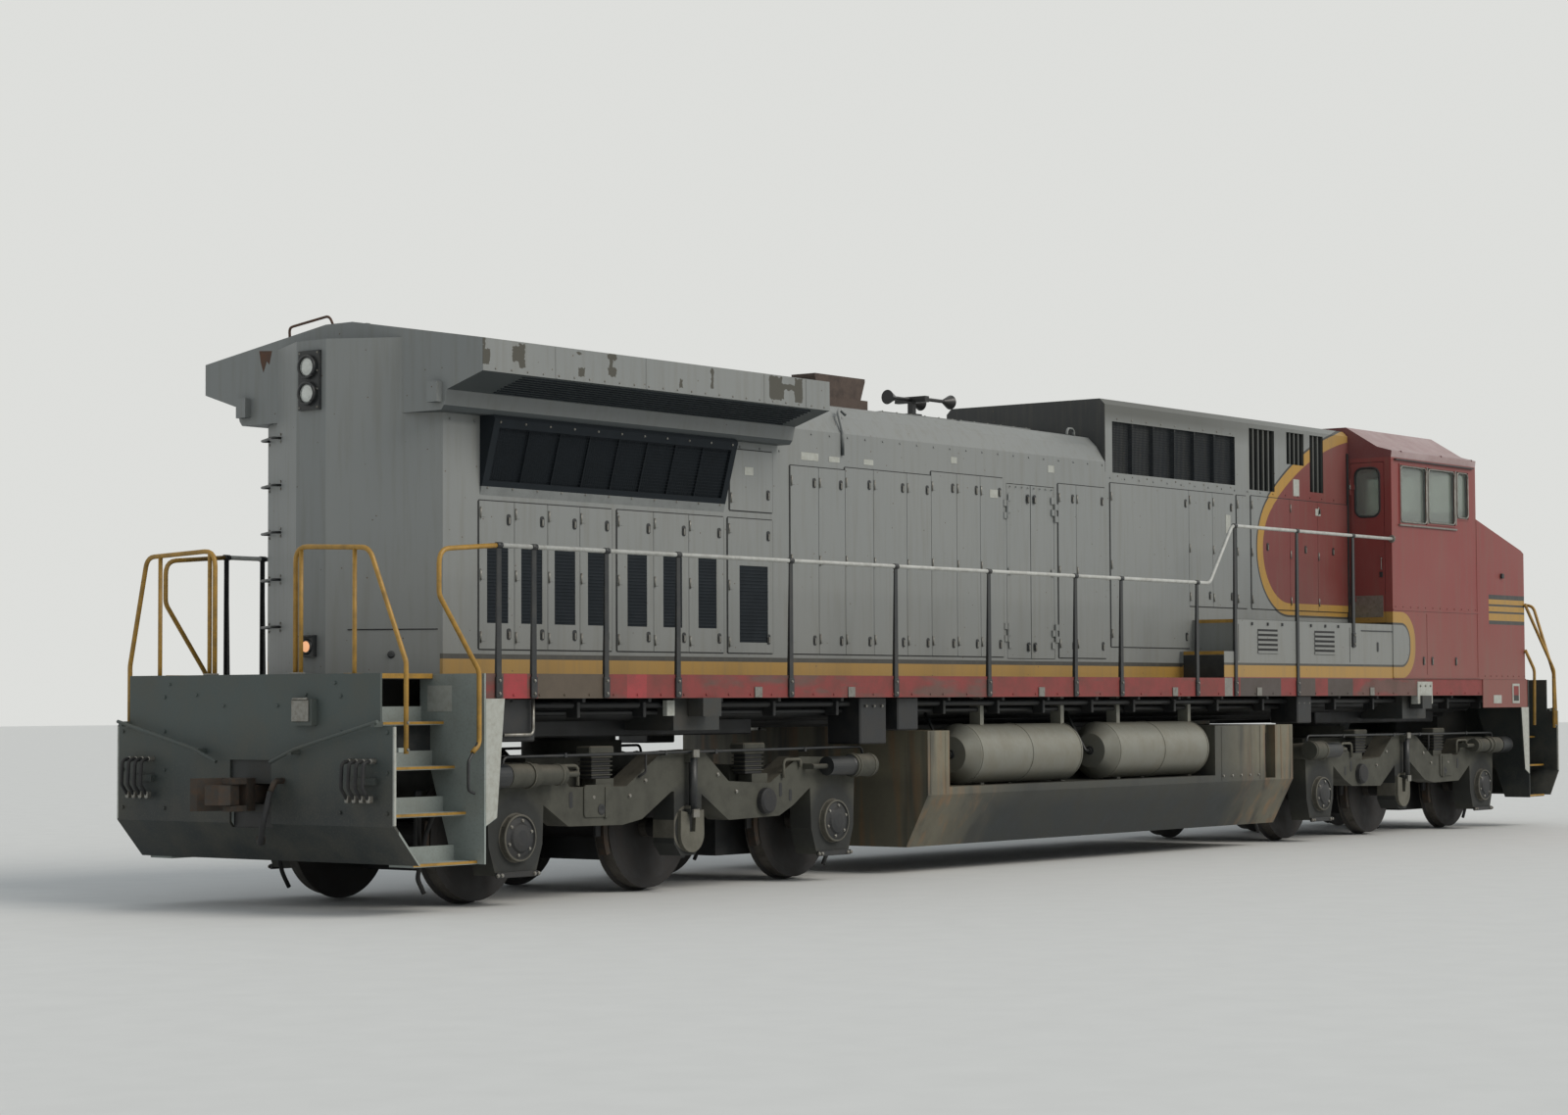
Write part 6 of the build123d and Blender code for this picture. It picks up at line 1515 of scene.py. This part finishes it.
class LOCO_OT_under_sill(bpy.types.Operator):
    """Run the pipes, cable trays and brackets under the side sill"""
    bl_idname = "loco.under_sill"
    bl_label = "Pipes under the sill"

    def execute(self, context):
        rng = random.Random(7)
        for side, name in SIDES:
            work = Workpiece(side)
            # Dark runs and boxes of real kinds, set close so that they also stand for the shade under the
            # sill
            # Runs along the sill: rear end, front end, across, above the rail, radius
            for rear, front, across, height, radius in ((-9.2, 9.1, 1.28, 1.545, 0.03),
                                                        (-9.2, 4.0, 1.2, 1.48, 0.022),
                                                        (-3.9, 9.1, 1.15, 1.56, 0.022),
                                                        (-9.0, -3.6, 1.06, 1.505, 0.045),
                                                        (3.7, 9.0, 1.06, 1.505, 0.045),
                                                        (-9.1, 9.0, 0.9, 1.47, 0.06),
                                                        (-9.1, 9.0, 0.72, 1.44, 0.05),
                                                        (-9.1, 9.0, 0.56, 1.4, 0.06)):
                work.tube([(rear, across, height), (front, across, height)], radius, GREASE, 10)
            x = -8.9
            while x < 9.0:
                if not abs(abs(x) - BOGIE_X) < 0.2:
                    work.box((x - 0.02, 0.4, 1.565), (x + 0.02, 1.4, 1.605), GREASE, 0.004)
                    work.box((x - 0.018, 1.22, 1.44), (x + 0.018, 1.345, 1.57), GREASE, 0.006)
                x += 0.9 + rng.uniform(-0.12, 0.12)
            # Air ducts down to each bogie, and boxes hung under the floor: rear, front, foot, head, in, out
            for rear, front, foot, head, inner, outer in (
                    (-9.15, -8.62, 1.26, 1.6, 1.02, 1.4), (-4.35, -3.95, 1.18, 1.6, 1.05, 1.42),
                    (-3.8, -3.48, 1.3, 1.6, 1.1, 1.44), (3.7, 4.02, 1.3, 1.6, 1.1, 1.44),
                    (-8.2, -5.2, 1.28, 1.56, 0.44, 0.86), (5.2, 8.2, 1.28, 1.56, 0.44, 0.86)):
                work.box((rear, inner, foot), (front, outer, head), GREASE, 0.012)
            work.tube(bent([(-8.68, 1.43, 1.6), (-8.68, 1.43, 1.315), (-9.02, 1.43, 1.315)], 0.05), 0.014,
                      ZINC, 8)
            work.box((-7.02, 1.36, 1.45), (-6.92, 1.41, 1.58), PLATE, 0.004)
            for x in (-4.15, 3.86):
                work.bolts((x - 0.12, 1.43, 1.52), (x + 0.12, 1.43, 1.52), 3, (0, 1, 0), 0.011)
            # Bolts and small brackets on the sill's face
            face = DECK_HALF
            for rear, front, count in ((-9.0, -3.4, 20), (-3.2, 3.4, 18), (3.6, 9.2, 16)):
                work.bolts((rear, face, 1.625), (front, face, 1.625), count, (0, 1, 0), 0.009, SILL)
            for x in (-5.95, -4.62, -1.55, 0.95, 2.7, 5.3):
                work.box((x - 0.05, face, 1.6), (x + 0.05, face + 0.012, 1.69), ZINC, 0.003)
            work.box((6.44, face - 0.08, 1.5), (6.82, face + 0.012, 1.76), PLATE, 0.006)
            work.bolts((6.5, face + 0.012, 1.71), (6.76, face + 0.012, 1.71), 3, (0, 1, 0), 0.012)
            for end in (-1, 1):
                for corner in (-0.09, 0.09):
                    work.bolt((end * BOGIE_X + corner, 1.53, 1.56), (0, 1, 0), 0.016)
            work.made(f"under_sill_pipes_{name}", BODY, "tank_paint")
        return {"FINISHED"}


class LOCO_OT_walkway_details(bpy.types.Operator):
    """Fit the walkway cabinets' latches, seams, treads and painted shade between the louvre blades"""
    bl_idname = "loco.walkway_details"
    bl_label = "Walkway cabinet details"

    def execute(self, context):
        for side, name in SIDES:
            work = Workpiece(side)
            face = DECK_HALF
            for x in (2.561, 2.904, 3.222, 3.872, 4.204, 4.507):
                work.box((x - 0.014, face, 2.352), (x + 0.014, face + 0.014, 2.384), BLACK, 0.003)
            for low, high, head, foot in ((2.27, 2.275, 2.36, 1.97), (3.585, 3.591, 2.36, 1.97),
                                          (4.78, 4.786, 2.36, 1.97)):
                work.box((low, face, foot), (high, face + 0.003, head), RUBBER, 0.0008)
            work.box((5.056, face, 2.324), (5.835, face + 0.008, 2.336), BLACK, 0.002)
            work.plate(rounded_outline((5.438, 2.095), (5.478, 2.205), 0.018), 1, face, face + 0.006, BLACK)
            # Painted shade: dark strips in the slots between the louvre blades, with a lip over each
            for rear, front in ((2.681, 3.127), (3.952, 4.425)):
                for row in range(5):
                    z = 2.055 + row * 0.052
                    work.box((rear + 0.004, face, z + 0.027), (front - 0.004, face + 0.002, z + 0.05),
                             RUBBER, 0.0008)
            # Grey-yellow edges of the risers, and raised tread bars on the cabinet's top
            work.box((1.966, 1.03, 2.035), (1.972, 1.515, 2.072), YELLOW, 0.001)
            work.box((2.236, 1.03, 2.375), (2.242, 1.515, 2.412), YELLOW, 0.001)
            # Painted shade: a dark strip on the lowest riser, which faces rearward
            work.box((1.9645, 1.03, 1.8), (1.9675, 1.515, 2.03), BLACK, 0.001)
            x = 2.3
            while x < 5.78:
                work.box((x - 0.006, 1.04, 2.41), (x + 0.006, 1.5, 2.414), ENAMEL, 0.001)
                x += 0.06
            work.made(f"walkway_details_{name}", BODY, "hood_paint")
        return {"FINISHED"}


class LOCO_OT_nose_fittings(bpy.types.Operator):
    """Fit the nose's seams, plates, cover, bolts and the nose door's handle"""
    bl_idname = "loco.nose_fittings"
    bl_label = "Nose fittings"

    def execute(self, context):
        work = Workpiece()
        for work.side in (-1, 1):
            face = CAB_HALF
            work.box((8.2, face, 1.79), (9.4, face + 0.004, 1.8), ENAMEL, 0.001)
            # The blank plate and the small cover on the skirt
            work.box((8.47, face, 1.5), (8.69, face + 0.004, 1.6), PLATE, 0.001)
            work.box((9.0, face, 1.5), (9.2, face + 0.006, 1.74), PLATE, 0.002)
            work.box((9.03, face + 0.004, 1.53), (9.17, face + 0.009, 1.71), SILL, 0.002)
            work.bolts((8.24, face, 1.83), (9.36, face, 1.83), 8, (0, 1, 0), 0.007, ENAMEL)
        work.made("nose_fittings", BODY, "cab_paint")
        door = Workpiece()
        lean = math.atan2(0.13, 1.44)
        up = Vector((-math.sin(lean), 0, math.cos(lean)))
        out = Vector((math.cos(lean), 0, math.sin(lean)))
        base = Vector((9.74, 0.62, DECK)) + up * 0.07
        route = [base + up * 0.55 - out * 0.002, base + up * 0.55 + out * 0.045,
                 base + up * 0.8 + out * 0.045, base + up * 0.8 - out * 0.002]
        door.tube(bent(route, 0.02), 0.009, ZINC, 8)
        door.made("nose_door_handle", "nose_door", "cab_paint")
        return {"FINISHED"}


class LOCO_OT_cab_interior(bpy.types.Operator):
    """Upholster the seats and set out the control desk"""
    bl_idname = "loco.cab_interior"
    bl_label = "Cab interior"

    def execute(self, context):
        seat_x = CAB_FRONT - 1.24
        floor_top = 2.41
        for side, name in SIDES:
            work = Workpiece(side)
            middle = CAB_HALF - 0.58
            for part, low, high in (("cushion", (seat_x - 0.24, middle - 0.24, floor_top + 0.415),
                                     (seat_x + 0.25, middle + 0.24, floor_top + 0.525)),
                                    ("back", (seat_x - 0.3, middle - 0.23, floor_top + 0.53),
                                     (seat_x - 0.2, middle + 0.23, floor_top + 1.17))):
                shell = bmesh.new()
                bmesh.ops.create_cube(shell, size=1.0)
                size = [b - a for a, b in zip(low, high)]
                bmesh.ops.scale(shell, vec=size, verts=shell.verts)
                bmesh.ops.subdivide_edges(shell, edges=shell.edges, cuts=3, use_grid_fill=True)
                thin = size.index(min(size))
                for vert in shell.verts:
                    others = [axis for axis in range(3) if axis != thin]
                    crown = math.prod(math.cos(math.pi * 0.9 * vert.co[axis] / size[axis])
                                      for axis in others)
                    vert.co[thin] *= 0.8 + 0.35 * max(crown, 0)
                    for axis in others:
                        vert.co[axis] *= 1.0 - 0.06 * abs(2 * vert.co[thin] / size[thin])
                bmesh.ops.translate(shell, vec=work.at([(a + b) / 2 for a, b in zip(low, high)]),
                                    verts=shell.verts)
                mesh = bpy.data.meshes.new(f"seat_{part}_{name}")
                shell.to_mesh(mesh)
                shell.free()
                mesh.materials.append(finish("woven_seat_cloth"))
                mesh.polygons.foreach_set("use_smooth", [True] * len(mesh.polygons))
                seat = bpy.data.objects.new(f"seat_{part}_{name}", mesh)
                bpy.context.scene.collection.objects.link(seat)
                smooth = seat.modifiers.new("round", "SUBSURF")
                smooth.levels = smooth.render_levels = 1
                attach(seat, BODY)
                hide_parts("cab_seats")
            work.turned((seat_x, middle, floor_top), (0, 0, 1), [(0, 0.17), (0.015, 0.17), (0.03, 0.06),
                                                                 (0.36, 0.05), (0.37, 0.12), (0.41, 0.12)],
                        BLACK, 16)
            for across in (-0.16, 0.16):
                work.tube(bent([(seat_x - 0.18, middle + across, floor_top + 0.42),
                                (seat_x - 0.27, middle + across, floor_top + 0.47),
                                (seat_x - 0.25, middle + across, floor_top + 0.9)], 0.06), 0.014, BLACK, 8)
            # Desk top: gauges, a brake handle and a throttle
            desk = Vector((CAB_FRONT - 0.365, 0.96, floor_top + 1.0))
            for number in range(3):
                spot = desk + Vector((0.08, (number - 1) * 0.16, 0))
                work.turned(spot, (-0.4, 0, 1), [(-0.02, 0.05), (0.03, 0.05), (0.034, 0.042), (0.03, 0.0)],
                            BLACK, 16)
            work.tube(bent([desk + Vector((-0.1, side * 0.25, 0)), desk + Vector((-0.1, side * 0.25, 0.1)),
                            desk + Vector((-0.2, side * 0.25, 0.12))], 0.03), 0.01, ZINC, 8)
            work.made(f"seat_posts_and_handles_{name}", BODY, "desk_paint", ("cab_seats",))
        return {"FINISHED"}


OPERATORS = (LOCO_OT_stage, LOCO_OT_paint_frame, LOCO_OT_handrails, LOCO_OT_end_rails, LOCO_OT_grab_irons,
             LOCO_OT_hood_hardware, LOCO_OT_screens, LOCO_OT_roof_fittings, LOCO_OT_lamps,
             LOCO_OT_cab_fittings, LOCO_OT_nose_fittings, LOCO_OT_walkway_details, LOCO_OT_bogie_fittings,
             LOCO_OT_tank_fittings, LOCO_OT_end_fittings, LOCO_OT_under_sill, LOCO_OT_cab_interior)


class LOCO_PT_dressing(bpy.types.Panel):
    """Lists the locomotive's operators"""
    bl_label = "Locomotive"
    bl_idname = "LOCO_PT_dressing"
    bl_space_type = "VIEW_3D"
    bl_region_type = "UI"
    bl_category = "Locomotive"

    def draw(self, context):
        for operator in OPERATORS:
            self.layout.operator(operator.bl_idname)
        for group in (context.scene.loco_colours, context.scene.loco_sizes):
            for name in group.__annotations__:
                self.layout.prop(group, name)


CLASSES = (LocoColours, LocoSizes, *OPERATORS, LOCO_PT_dressing)


def register():
    for own in CLASSES:
        bpy.utils.register_class(own)
    bpy.types.Scene.loco_colours = bpy.props.PointerProperty(type=LocoColours)
    bpy.types.Scene.loco_sizes = bpy.props.PointerProperty(type=LocoSizes)


def unregister():
    del bpy.types.Scene.loco_sizes
    del bpy.types.Scene.loco_colours
    for own in reversed(CLASSES):
        bpy.utils.unregister_class(own)


def main():
    """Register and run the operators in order."""
    register()
    for operator in OPERATORS:
        group, name = operator.bl_idname.split(".")
        getattr(getattr(bpy.ops, group), name)()


if __name__ == "__main__":
    main()
